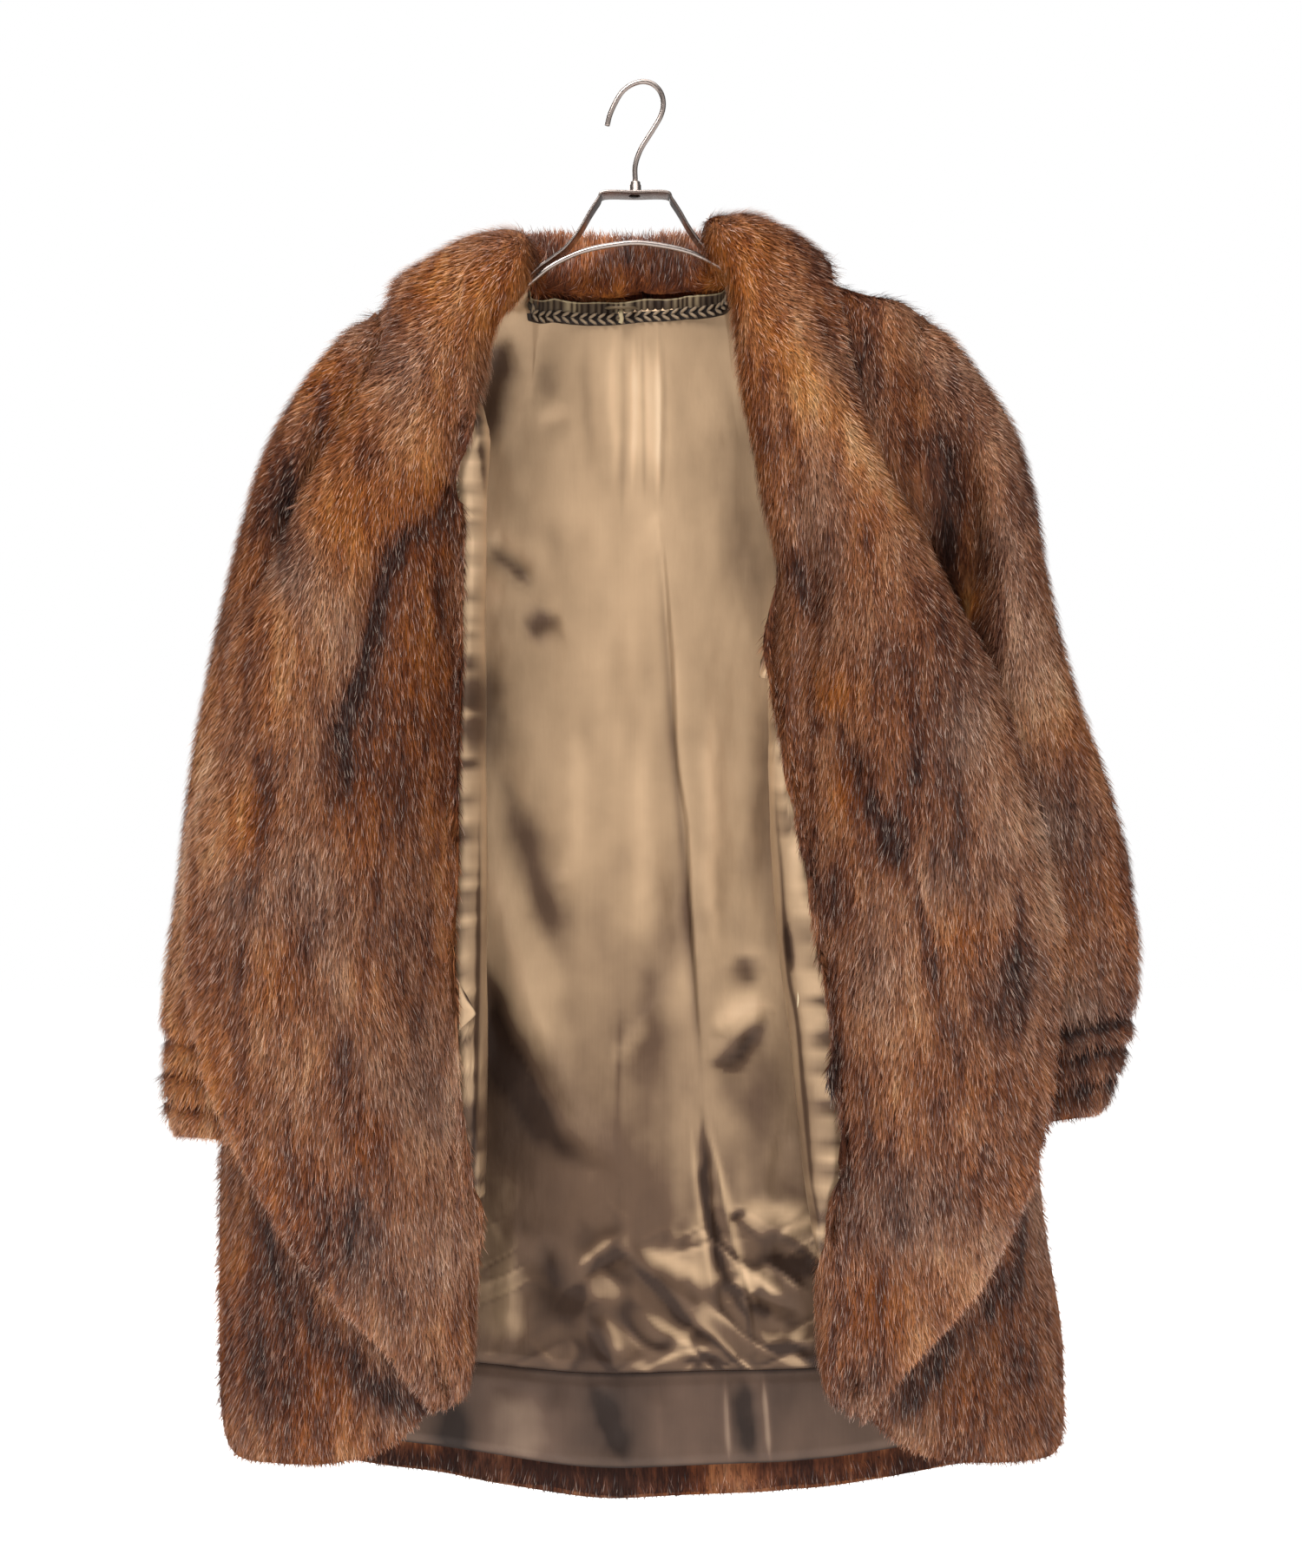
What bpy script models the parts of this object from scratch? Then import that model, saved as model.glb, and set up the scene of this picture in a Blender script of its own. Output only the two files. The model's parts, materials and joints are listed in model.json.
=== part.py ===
"""Fur coat on a clothes hanger, hanging open with both fronts turned back.

Run with: blender --background --python part.py
Units are metres and +Z is up. The origin is the inside top of the hanger's hook,
the coat's open front looks along -Y, and +X is the viewer's right. The tables are
in millimetres. "left" and "right" are the viewer's.

Each front is one sheet of fur that runs from the side seam to a vertical fold and
back out as a flap, so one table row describes one cut across panel, fold and flap.
Every piece that lies on that sheet (lining, shawl) takes its points from the same
rows and moves them out along the sheet's normal. The fur of a front is cut in two pieces
at the middle of its fold, and a sleeve in two halves, front and back, that meet along its
outer and inner edge.
"""

import math
from dataclasses import dataclass

import bmesh
import bpy
import numpy as np

MM = 0.001

# --- driving sizes, in mm ---------------------------------------------------------
FUR = 12.0  # pelt: leather plus standing hair
FUR_EDGE = 6.0  # pelt at a hem, front edge or cuff, where the hair rounds over
FUR_SEAM = 4.0  # pelt squeezed in the armhole seam
FUR_COLLAR = 6.0  # collar pressed where it stands on the hanger
SHAWL_EDGE = 7.0  # shawl along its sewn edges
CREASE_DEPTH = 6.5  # how far the flap's crease goes into the shawl
UNDERARM = {12: 9.0, 13: 6.0, 14: FUR_SEAM}  # pelt where side seam turns into armhole, by table row
SATIN = 1.2  # lining cloth
SEAM_GAP = 0.3  # between pieces that are sewn to each other
TRIM_GAP = 1.5  # between shawl and lining, under the looped braid
LINING_LIFT = 2.2  # lining off the leather
LINING_SIDE = 7.0  # lining off the side seams, where its two cloths meet
LINING_TOP = 3.0  # lining stops this far under the shoulder seam
FACING_LIFT = 2.2  # shawl off the leather of the flap
NECK_POINT_LEFT = (-91.0, 0.0, -135.0)
NECK_POINT_RIGHT = (69.0, 0.0, -129.0)

PANEL_STEPS, LOOP_STEPS, FLAP_STEPS = 7, 6, 8
SLEEVE_POINTS = 20
SLEEVE_SQUARE = 0.85  # under 1 makes a sleeve's cut fuller than an ellipse
SLEEVE_CLEAR = (2.0, 3.0)  # sleeve off the body at the armhole, sideways and up
UNDERARM_CLEAR = 5.0  # and this much more sideways under the arm
CREASE_WIDTH = 14.0
NECK_TRIM = 6  # steps by which the neck trims stop short of the shoulders
ARMPIT = 14  # row of the tables where the armhole begins
GATHER = 0.8  # least distance between columns that gather at a seam
PANEL_TURN = 3.2  # higher makes the panel leave the side seam straighter forward
BULGE_NEAR, BULGE_FALL = 1.15, 0.3  # a flap stands out more near its fold than near its edge
CREASE_SOFTNESS = 0.6  # share of a crease's width at which it has a third of its depth
UNDERARM_TOP, UNDERARM_BAND = -340, 55  # height where an armhole turns under, and over how much
HEM_SHORT = 0.5  # share of the lowest row by which the lining stops short of the hem


@dataclass(frozen=True)
class FrontRow:
    """One cut across a front, from the side seam or armhole to the flap's edge."""

    side_x: float  # side seam or armhole
    side_y: float
    side_z: float
    back_y: float  # where the back panel starts on the same cut
    panel_y: float  # front panel between side and fold
    fold_x: float  # innermost point of the fold
    fold_z: float
    loop: float  # radius of the fold
    bulge: float  # how far the flap stands out from its chord
    edge_x: float  # free edge of the flap
    edge_y: float
    edge_z: float
    seam: float  # shawl's seam, measured from the fold towards the edge
    tilt: float  # 0 = the fold opens forward, 90 = it opens upward
    under: float  # share of the flap that has fur on its hidden side


FRONT_LEFT = [
    # side_x side_y side_z back_y panel_y fold_x fold_z loop bulge edge_x edge_y edge_z seam tilt under
    FrontRow(310, 22, -1031, 22, -8, 139, -976, 11, 1, 157, -34, -981, -10, 0, 1),
    FrontRow(312, 24, -996, 24, -8, 137, -948, 15, 3, 175, -44, -950, -8, 0, 1),
    FrontRow(313, 25, -955, 25, -7, 136, -917, 18, 4, 193, -52, -926, -4, 0, 1),
    FrontRow(313, 26, -915, 26, -6, 133, -884, 20, 5, 217, -60, -902, 2, 0, 1),
    FrontRow(313, 27, -870, 27, -6, 126, -846, 22, 9, 241, -72, -870, 10, 0, 1),
    FrontRow(313, 28, -822, 28, -6, 122, -806, 22, 15, 263, -88, -830, 20, 0, 1),
    FrontRow(310, 29, -772, 29, -6, 121, -762, 22, 22, 284, -98, -784, 28, 0, 1),
    FrontRow(303, 30, -720, 30, -6, 121, -713, 22, 28, 303, -101, -732, 32, 0, 1),
    FrontRow(295, 30, -667, 30, -6, 121, -662, 22, 29, 315, -99, -678, 36, 0, 1),
    FrontRow(285, 30, -612, 30, -5, 121, -610, 22, 30, 319, -98, -620, 34, 0, 1),
    FrontRow(272, 30, -558, 30, -5, 121, -556, 22, 30, 317, -98, -560, 33, 0, 1),
    FrontRow(260, 29, -507, 29, -5, 122, -503, 22, 30, 306, -98, -507, 33, 0, 1),
    FrontRow(248, 26, -462, 26, -6, 122, -455, 22, 28, 295, -97, -459, 30, 0, 1),
    FrontRow(241, 18, -425, 18, -10, 122, -410, 22, 25, 284, -93, -413, 27, 0, 1),
    FrontRow(238, 5, -395, 5, -16, 121, -368, 20, 22, 262, -90, -376, 26, 0, 1),
    FrontRow(212, -26, -357, 40, -24, 121, -330, 18, 17, 248, -86, -335, 25, 0, 1),
    FrontRow(198, -36, -320, 50, -30, 119, -295, 16, 14, 227, -76, -294, 30, 0, 0.5),
    FrontRow(190, -38, -284, 50, -33, 119, -262, 15, 11, 206, -70, -261, 15, 0, 0),
    FrontRow(188, -32, -248, 43, -32, 127, -230, 14, 8, 191, -62, -231, -5, 6, 0),
    FrontRow(190, -22, -212, 27, -25, 120, -190, 12, 6, 183, -44, -202, -6, 25, 0),
    FrontRow(193, -14, -184, 15, -16, 96, -148, 11, 5, 184, -24, -172, -3, 55, 0),
    FrontRow(196, 0, -176, 0, 0, 89, -141, 10, 3, 181, 0, -154, -2, 90, 0),
]

FRONT_RIGHT = [
    # side_x side_y side_z back_y panel_y fold_x fold_z loop bulge edge_x edge_y edge_z seam tilt under
    FrontRow(313, 22, -1030, 22, -8, 145, -980, 11, 1, 165, -34, -989, -10, 0, 1),
    FrontRow(310, 24, -996, 24, -8, 142, -951, 15, 3, 185, -44, -957, -6, 0, 1),
    FrontRow(310, 25, -955, 25, -7, 141, -918, 18, 4, 207, -52, -928, -2, 0, 1),
    FrontRow(306, 26, -915, 26, -6, 138, -884, 20, 5, 231, -60, -904, 4, 0, 1),
    FrontRow(297, 27, -870, 27, -6, 130, -846, 22, 9, 249, -72, -870, 20, 0, 1),
    FrontRow(292, 28, -822, 28, -6, 124, -806, 22, 15, 268, -88, -826, 38, 0, 1),
    FrontRow(289, 29, -772, 29, -6, 120, -762, 22, 21, 281, -98, -780, 42, 0, 1),
    FrontRow(286, 30, -720, 30, -6, 115, -713, 22, 27, 287, -101, -730, 43, 0, 1),
    FrontRow(281, 30, -667, 30, -6, 108, -662, 22, 29, 290, -99, -676, 44, 0, 1),
    FrontRow(274, 30, -612, 30, -5, 103, -610, 22, 30, 294, -98, -618, 42, 0, 1),
    FrontRow(266, 30, -558, 30, -5, 100, -556, 22, 30, 280, -98, -560, 34, 0, 1),
    FrontRow(257, 29, -507, 29, -5, 99, -503, 22, 30, 268, -98, -508, 20, 0, 1),
    FrontRow(248, 26, -462, 26, -6, 99, -455, 22, 28, 251, -97, -462, 8, 0, 1),
    FrontRow(243, 18, -427, 18, -10, 102, -410, 22, 25, 231, -90, -415, 0, 0, 1),
    FrontRow(240, 5, -397, 5, -16, 108, -368, 20, 20, 208, -82, -372, -8, 0, 1),
    FrontRow(217, -26, -357, 40, -24, 101, -330, 18, 15, 188, -74, -332, -14, 0, 1),
    FrontRow(207, -34, -320, 50, -30, 95, -295, 16, 12, 169, -68, -300, -18, 0, 0.5),
    FrontRow(203, -36, -283, 50, -33, 89, -262, 15, 10, 155, -62, -266, -20, 0, 0),
    FrontRow(200, -30, -247, 43, -32, 83, -228, 14, 8, 147, -58, -233, -14, 6, 0),
    FrontRow(201, -20, -211, 27, -25, 77, -186, 13, 5, 142, -44, -196, -7, 25, 0),
    FrontRow(202, -14, -186, 15, -16, 70, -144, 13, 3, 138, -26, -155, -3, 55, 0),
    FrontRow(204, 0, -178, 0, 0, 64, -138, 15, 1, 135, 0, -141, -2, 90, 0),
]
HEM_SWEEP = {0: 4.0, 1: 3.5, 2: 3.0, 3: 2.2, 4: 1.6}  # how late the front hem rises


@dataclass(frozen=True)
class CollarStation:
    """One cut across the collar behind the neck: sewn edge, stand, roll, fall, edge."""

    x: tuple
    y: tuple
    z: tuple


COLLAR_LEFT = [
    CollarStation((-90, -88, -90, -124, -146), (16, 18, 24, 44, 54), (-138, -127, -115, -134, -164)),
    CollarStation((-70, -67, -72, -96, -106), (32, 35, 46, 72, 86), (-144, -130, -113, -136, -176)),
    CollarStation((-36, -35, -37, -48, -52), (42, 45, 56, 74, 82), (-149, -131, -112, -140, -185)),
    CollarStation((0, 0, 0, 0, 0), (45, 48, 58, 75, 81), (-150, -132, -111, -142, -188)),
]
COLLAR_RIGHT = [
    CollarStation((70, 66, 69, 104, 126), (16, 18, 24, 46, 56), (-134, -122, -107, -128, -158)),
    CollarStation((60, 57, 61, 86, 98), (32, 35, 46, 72, 86), (-141, -126, -109, -134, -175)),
    CollarStation((34, 33, 35, 46, 50), (42, 45, 56, 74, 82), (-148, -130, -110, -139, -185)),
    CollarStation((0, 0, 0, 0, 0), (45, 48, 58, 75, 81), (-150, -132, -111, -142, -188)),
]


@dataclass(frozen=True)
class SleeveRing:
    """One cut across a sleeve: outermost and innermost point, depth, fur."""

    out_x: float
    out_z: float
    in_x: float
    in_z: float
    mid_y: float
    half_y: float
    fur: float = FUR


SLEEVE_LEFT = [
    SleeveRing(216, -191, 252, -396, 0, 42, 8),
    SleeveRing(241, -227, 259, -408, -8, 44, 11),
    SleeveRing(262, -266, 264, -428, -20, 40),
    SleeveRing(279, -314, 264, -454, -32, 34),
    SleeveRing(292, -373, 257, -492, -42, 28),
    SleeveRing(307, -444, 242, -538, -50, 23),
    SleeveRing(320, -528, 222, -594, -55, 20),
    SleeveRing(329, -610, 210, -652, -57, 19),
    SleeveRing(337, -672, 206, -700, -57, 18),
    SleeveRing(340, -702, 206, -726, -57, 18),
    SleeveRing(340, -717, 206, -740, -57, 18, 8),
    SleeveRing(341, -730, 206, -752, -57, 18),
    SleeveRing(340, -742, 207, -764, -57, 18, 8),
    SleeveRing(340, -754, 208, -775, -57, 18),
    SleeveRing(337, -764, 208, -784, -57, 18, 8),
    SleeveRing(334, -770, 209, -789, -57, 18, 11),
    SleeveRing(326, -776, 211, -793, -57, 17, FUR_EDGE),
]
SLEEVE_RIGHT = [
    SleeveRing(222, -192, 254, -396, 0, 42, 8),
    SleeveRing(244, -225, 260, -408, -8, 44, 11),
    SleeveRing(262, -262, 264, -428, -20, 40),
    SleeveRing(276, -311, 262, -454, -32, 34),
    SleeveRing(285, -372, 252, -492, -42, 28),
    SleeveRing(300, -440, 236, -538, -50, 23),
    SleeveRing(323, -512, 218, -590, -55, 20),
    SleeveRing(345, -578, 208, -642, -57, 19),
    SleeveRing(352, -634, 205, -682, -57, 18),
    SleeveRing(351, -676, 205, -706, -57, 18),
    SleeveRing(350, -691, 205, -720, -57, 18, 8),
    SleeveRing(348, -704, 205, -732, -57, 18),
    SleeveRing(345, -717, 206, -744, -57, 18, 8),
    SleeveRing(342, -730, 207, -755, -57, 18),
    SleeveRing(337, -741, 208, -764, -57, 18, 8),
    SleeveRing(332, -752, 209, -773, -57, 18, 11),
    SleeveRing(322, -762, 211, -780, -57, 17, FUR_EDGE),
]

# Back panel: depth of the middle of each row, and how far it follows the neck curve.
BACK_DEPTH = [52, 53, 54, 55, 55, 55, 55, 55, 55, 55, 55, 56, 56, 57, 57, 57, 57, 56, 55, 52, 48, 44]
BACK_RISE = [0] * ARMPIT + [0.02, 0.05, 0.12, 0.24, 0.42, 0.66, 1.04, 1.0]
BACK_FALL = {18: 42.0, 19: 29.0, 20: 19.0}  # how far a row near the top lies behind the seam
HEM_POWER = (2.0, 1.1)  # how late the hem drops on the left and on the right
HEM_DROP = [40, 32, 22, 17, 12, 7, 3]  # centre back hangs lower than the sides
BACK_SIDE_COLUMNS, BACK_NECK_COLUMNS = 5, 10
SHARE_ACROSS = 0.6  # columns are spaced mostly by width, the rest by length of the top edge
BACK_SQUARE = 6  # higher keeps the back flat closer to its sides
FLUTES = 3.5  # soft waves of the hanging back
FLUTE_DEPTH = 5.0
FLUTE_TOP, FLUTE_GROWTH = -450, 400  # height where they start, and drop over which they grow

# Creases of the two flaps, and folds of the lining: x, z, along the front.
CREASE_LEFT = [(-118, -290), (-172, -350), (-194, -404), (-200, -440), (-212, -470), (-216, -494)]
CREASE_RIGHT = [(104, -470), (134, -482), (148, -514), (170, -560), (190, -610), (194, -650), (208, -706)]
LINING_TROUGH = [(-124, -640), (-112, -700), (-88, -752), (-62, -790), (-40, -816)]
LINING_PLEAT = [(16, -330), (16, -388), (22, -471), (32, -594), (41, -727), (54, -896), (62, -940)]

# Looseness of the back lining, in mm off the leather.
LINING_HANG, LINING_WAVE, LINING_WAVE_WIDTH, WAVE_START = 3.0, 2.0, 31.0, 0.6
WAVE_TOP, WAVE_GROWTH = -250, 300  # height where the waves start, and drop over which they grow
LINING_SEWN, LINING_LEAST = 1.0, 0.8
NECK_FOOT, NECK_GROWTH = -185, 90  # height where it starts to hang free, and drop over which it does
PLEAT_RISE, PLEAT_WIDTH = 7.0, 22.0
TROUGH_RIM, TROUGH_RIM_WIDTH, TROUGH_RIM_SHIFT = 5.0, 30.0, 34
TROUGH_DEPTH, TROUGH_WIDTH = 2.0, 24.0
HEM_BAND_ROWS = 2  # rows of the tables that the hem band takes

# Trims at the back of the neck: distances down from the neckline, and off the leather.
BAND_TOP, BAND_FOOT, BRAID_TOP, BRAID_FOOT = 1.0, 10.0, 10.5, 17.0
TRIM_LIFT = 3.6
NECK_TURN = 1 / 240  # how far the trims turn towards the middle, per mm from it
BAND_RUFFLE, BRAID_RUFFLE = 0.5, 0.7
BAND_CLOTH, BRAID_CLOTH = 1.2, 1.6
BAND_POINTS, BRAID_POINTS = 51, 41  # along the whole neckline
LOOP_X, LOOP_Y, LOOP_Z, LOOP_TALL = -17.0, 36.0, -163.0, 5.0  # the hanger loop, half a ring
LOOP_HALF, LOOP_OUT, LOOP_CORD = 9.0, 7.0, 2.0
TAB_CLOTH = 1.5  # folded satin of a tab

HANGER_X = -6.0  # the hanger's own middle plane
BAND_THICK = 2.0
BAND_DEPTH = {0: 24.0, 48: 24.0, 66: 14.0, 190: 14.0}  # at distances from the middle plane
# Half of the hanger's band from its middle outward: distance from the middle plane, height.
BAND_HALF = [
    (0, -83), (23, -83), (27.5, -88), (34, -98), (41, -110), (51, -123), (62, -131),
    (71, -137), (80, -145), (93, -156), (110, -163), (172, -185), (180, -191), (181, -198),
]
BAR_HALF = [(0, -120), (19, -122), (34, -125), (46, -129), (62, -137), (74, -146), (92, -161), (108, -168)]
BAR_RADIUS, BAR_Y = 1.7, -6.0
HOOK_RADIUS = 2.0
HOOK_PATH = [
    (-6, -72.5), (-6, -61), (-2, -49), (6, -36), (12.5, -25), (15, -16), (13.5, -7), (8, -0.5),
    (0, 2), (-9, -0.5), (-16, -6), (-21, -14), (-25, -23), (-27, -31),
]  # x, z
FERRULE_RADIUS, FERRULE_TOP, FERRULE_FOOT = 4.2, -73.0, -81.7


# --- curves and grids --------------------------------------------------------------
def catmull(points, steps):
    """Points of a smooth curve through all the given ones, `steps` per span."""
    pts = np.asarray(points, float)
    ends = np.vstack([2 * pts[0] - pts[1], pts, 2 * pts[-1] - pts[-2]])
    out = []
    for k in range(len(pts) - 1):
        a, b, c, d = ends[k : k + 4]
        for t in np.arange(steps) / steps:
            square = (2 * a - 5 * b + 4 * c - d) * t**2
            cube = (3 * b - a - 3 * c + d) * t**3
            out.append(0.5 * (2 * b + (c - a) * t + square + cube))
    out.append(pts[-1])
    return np.array(out)


def lengths(line):
    """Distance along a polyline at each of its points."""
    steps = np.linalg.norm(np.diff(line, axis=0), axis=1)
    return np.concatenate([[0.0], np.cumsum(steps)])


def at_lengths(line, where):
    """Points of a polyline at the given distances along it."""
    along = lengths(line)
    return np.stack([np.interp(where, along, line[:, k]) for k in range(3)], axis=1)


def even(line, count):
    """The polyline as `count` points at even distances."""
    return at_lengths(line, np.linspace(0, lengths(line)[-1], count))


def grid_normals(grid, closed=False):
    """Unit normals of a grid of points; rows wrap round when the grid is closed."""
    if closed:
        across = np.roll(grid, -1, axis=1) - np.roll(grid, 1, axis=1)
    else:
        across = np.gradient(grid, axis=1)
    down = np.gradient(grid, axis=0)
    normal = np.cross(across, down)
    return normal / np.maximum(np.linalg.norm(normal, axis=2, keepdims=True), 1e-9)


def near_line(x, z, line, width):
    """1 on a line in the x-z plane, falling softly to 0 at `width` from it."""
    pts = catmull(line, 6)
    away = np.sqrt((x[..., None] - pts[:, 0]) ** 2 + (z[..., None] - pts[:, 1]) ** 2).min(axis=-1)
    return np.exp(-((away / (CREASE_SOFTNESS * width)) ** 2))


# --- surfaces of the coat -----------------------------------------------------------
def front_section(row, sign, sweep):
    """One cut as a polyline; returns the points and the indices of fold foot, apex and end foot."""
    tilt = math.radians(row.tilt)
    forward = np.array([0.0, -math.cos(tilt), math.sin(tilt)])
    side = np.array([row.side_x, row.side_y, row.side_z])
    foot = np.array([row.fold_x + row.loop, row.panel_y, row.fold_z])
    edge = np.array([row.edge_x, row.edge_y, row.edge_z])
    points = []
    for k in range(PANEL_STEPS):
        t = k / PANEL_STEPS
        bend = 1 - (1 - t) ** PANEL_TURN
        points.append(
            [
                side[0] + (foot[0] - side[0]) * t,
                side[1] + (foot[1] - side[1]) * bend,
                side[2] + (foot[2] - side[2]) * t**sweep,
            ]
        )
    centre = foot + row.loop * forward
    for k in range(LOOP_STEPS + 1):
        angle = math.pi * (k / LOOP_STEPS - 0.5)
        points.append(
            centre + row.loop * math.sin(angle) * forward - np.array([row.loop * math.cos(angle), 0, 0])
        )
    start = foot + 2 * row.loop * forward
    for k in range(1, FLAP_STEPS + 1):
        t = k / FLAP_STEPS
        stand = row.bulge * 4 * t * (1 - t) * (BULGE_NEAR - BULGE_FALL * t)
        points.append(start + (edge - start) * t + forward * stand)
    section = np.array(points)
    section[:, 0] *= sign
    return section


FOOT = PANEL_STEPS
APEX = PANEL_STEPS + LOOP_STEPS // 2
LAST = PANEL_STEPS + LOOP_STEPS + FLAP_STEPS


def front_sections(rows, sign):
    """Every cut of one front, from hem to shoulder."""
    return [front_section(row, sign, HEM_SWEEP.get(i, 1.0)) for i, row in enumerate(rows)]


def seam_distance(section, row):
    """Distance from the side seam to the shawl's seam along one cut."""
    along = lengths(section)
    return max(along[APEX] + row.seam, along[FOOT] + 1.0)


def sheet_normals(rows, sign):
    """Normals of the whole front sheet, towards the lining and the shawl."""
    return grid_normals(np.array(front_sections(rows, sign))) * sign


def cut_sheet(rows, sign, first, last, limits):
    """Points and normals of the sheet's columns `first` to `last`, held between two lengths.

    `limits` gives the shortest and longest distance from the side seam for a row. Columns
    beyond a limit gather just inside it, so every piece shares the sheet's own points.
    """
    grid, normal = [], []
    for row, section, away in zip(rows, front_sections(rows, sign), sheet_normals(rows, sign)):
        along = lengths(section)
        low, high = limits(row, section)
        columns = np.arange(first, last + 1)
        where = np.maximum(along[columns], low + GATHER * (columns - first))
        where = np.minimum(where, high - GATHER * (last - columns))
        where[0], where[-1] = low, high
        grid.append(at_lengths(section, where))
        turned = np.stack([np.interp(where, along, away[:, k]) for k in range(3)], axis=1)
        normal.append(turned / np.linalg.norm(turned, axis=1, keepdims=True))
    return np.array(grid), np.array(normal)


def exterior_limits(row, section):
    """The fur outside covers the panel, and the flap's hidden side where the row says so."""
    along = lengths(section)
    return 0.0, along[FOOT] - 2 + row.under * (along[LAST] - along[FOOT] + 2)


def shawl_limits(row, section):
    """The shawl runs from its seam to the flap's free edge."""
    return seam_distance(section, row), lengths(section)[-1]


def lining_limits(row, section):
    """The lining runs from the side seam to just short of the shawl's seam."""
    return 0.0, seam_distance(section, row) - TRIM_GAP


def shawl_grid(rows, stations, sign):
    """The shawl from the flap's tip up the front, over the shoulder to centre back."""
    grid, normal = cut_sheet(rows, sign, FOOT + 1, LAST, shawl_limits)
    behind = []
    for station in stations:
        line = catmull(np.column_stack([station.x, station.y, station.z]), 6)
        behind.append(even(line, LAST - FOOT))
    grid = np.concatenate([grid, behind])
    free = grid_normals(grid) * sign
    return grid, np.concatenate([normal, free[len(rows) :]])


def front_lining_grid(rows, sign):
    """The lining of a front, from the side seam round the fold to the shawl's seam."""
    grid, normal = cut_sheet(rows, sign, 0, APEX + 4, lining_limits)
    grid[0] = grid[0] + HEM_SHORT * (grid[1] - grid[0])
    return grid, normal


def neckline():
    """The back neckline from one shoulder's neck point to the other."""
    left = [(s.x[0], s.y[0], s.z[0]) for s in COLLAR_LEFT]
    right = [(s.x[0], s.y[0], s.z[0]) for s in COLLAR_RIGHT[:-1]]
    return catmull([NECK_POINT_LEFT, *left, *right[::-1], NECK_POINT_RIGHT], 6)


def back_top():
    """Top edge of the back: shoulder seam, neckline, shoulder seam."""
    left, right = FRONT_LEFT[-1], FRONT_RIGHT[-1]
    tip_left = np.array([-left.side_x, 0.0, left.side_z])
    tip_right = np.array([right.side_x, 0.0, right.side_z])
    neck = even(neckline(), BACK_NECK_COLUMNS + 1)
    steps = np.arange(BACK_SIDE_COLUMNS + 1)[:, None] / BACK_SIDE_COLUMNS
    return np.vstack(
        [tip_left + (neck[0] - tip_left) * steps[:-1], neck, neck[-1] + (tip_right - neck[-1]) * steps[1:]]
    )


def back_grid():
    """Leather of the back panel, hem to neck, side seam to side seam."""
    top = back_top()
    share = lengths(top) / lengths(top)[-1]
    width = top[-1, 0] - top[0, 0]
    share = (top[:, 0] - top[0, 0]) / width * SHARE_ACROSS + share * (1 - SHARE_ACROSS)
    grid = []
    for i, (left, right) in enumerate(zip(FRONT_LEFT, FRONT_RIGHT)):
        low = np.array([-left.side_x, left.back_y, left.side_z])
        high = np.array([right.side_x, right.back_y, right.side_z])
        line = low + (high - low) * share[:, None]
        middle = 1 - np.abs(2 * share - 1) ** BACK_SQUARE
        flute = FLUTE_DEPTH * np.cos(2 * math.pi * FLUTES * share) * middle
        flute *= np.clip((FLUTE_TOP - line[:, 2]) / FLUTE_GROWTH, 0, 1)
        line[:, 1] += (BACK_DEPTH[i] - line[:, 1]) * middle + flute
        if i < len(HEM_DROP):
            line[:, 2] -= HEM_DROP[i] * (1 - (2 * share - 1) ** 2) ** np.where(share < 0.5, *HEM_POWER)
        rise = BACK_RISE[i]
        if i in BACK_FALL:
            behind = top[:, 1] + BACK_FALL[i] * (1 - top[:, 1] / top[:, 1].max())
            line[1:-1, 1] += rise * (behind - line[:, 1])[1:-1]
        base = top[0, 2] + (top[-1, 2] - top[0, 2]) * share
        line[:, 2] += rise * (top[:, 2] - base)
        line[:, 0] += min(rise, 1.0) * (top[:, 0] - top[0, 0] - width * share)
        if i == len(FRONT_LEFT) - 1:
            line = top.copy()
        grid.append(line)
    return np.array(grid)


def sleeve_grid(rows, rings, sign):
    """Leather of a sleeve: the armhole loop, then a ring for each row of its table."""
    armhole = rows[ARMPIT:]
    front = [(r.side_x, r.side_y, r.side_z) for r in armhole[::-1]]
    back = [(r.side_x, r.back_y, r.side_z) for r in armhole[1:-1]]
    loop = np.array(front + back + front[:1], float)
    ring = even(loop, SLEEVE_POINTS + 1)[:-1]
    low = np.clip((UNDERARM_TOP - ring[:, 2:3]) / UNDERARM_BAND, 0, 1)  # 1 under the arm
    aside, up = SLEEVE_CLEAR
    ring = ring + np.hstack([aside + UNDERARM_CLEAR * low, 0 * low, up * low])
    grid = [ring]
    for r in rings:
        out, inner = np.array([r.out_x, r.mid_y, r.out_z]), np.array([r.in_x, r.mid_y, r.in_z])
        middle, half = (out + inner) / 2, (out - inner) / 2
        angle = 2 * math.pi * np.arange(SLEEVE_POINTS) / SLEEVE_POINTS
        depth = np.sign(np.sin(angle)) * np.abs(np.sin(angle)) ** SLEEVE_SQUARE
        grid.append(
            middle + np.cos(angle)[:, None] * half - depth[:, None] * np.array([0, r.half_y, 0])
        )
    grid = np.array(grid, float)
    grid[:, :, 0] *= sign
    return grid


# --- walls ---------------------------------------------------------------------------
def mesh_object(name, vertices, faces):
    """A closed mesh object, in metres, with its faces turned outward."""
    mesh = bpy.data.meshes.new(name)
    bm = bmesh.new()
    verts = [bm.verts.new(tuple(float(c) * MM for c in v)) for v in vertices]
    for face in faces:
        bm.faces.new([verts[k] for k in face])
    bmesh.ops.triangulate(bm, faces=bm.faces)
    bmesh.ops.recalc_face_normals(bm, faces=bm.faces)
    if bm.calc_volume(signed=True) < 0:
        bmesh.ops.reverse_faces(bm, faces=bm.faces)
    bm.to_mesh(mesh)
    bm.free()
    thing = bpy.data.objects.new(name, mesh)
    bpy.context.scene.collection.objects.link(thing)
    return thing


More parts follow.
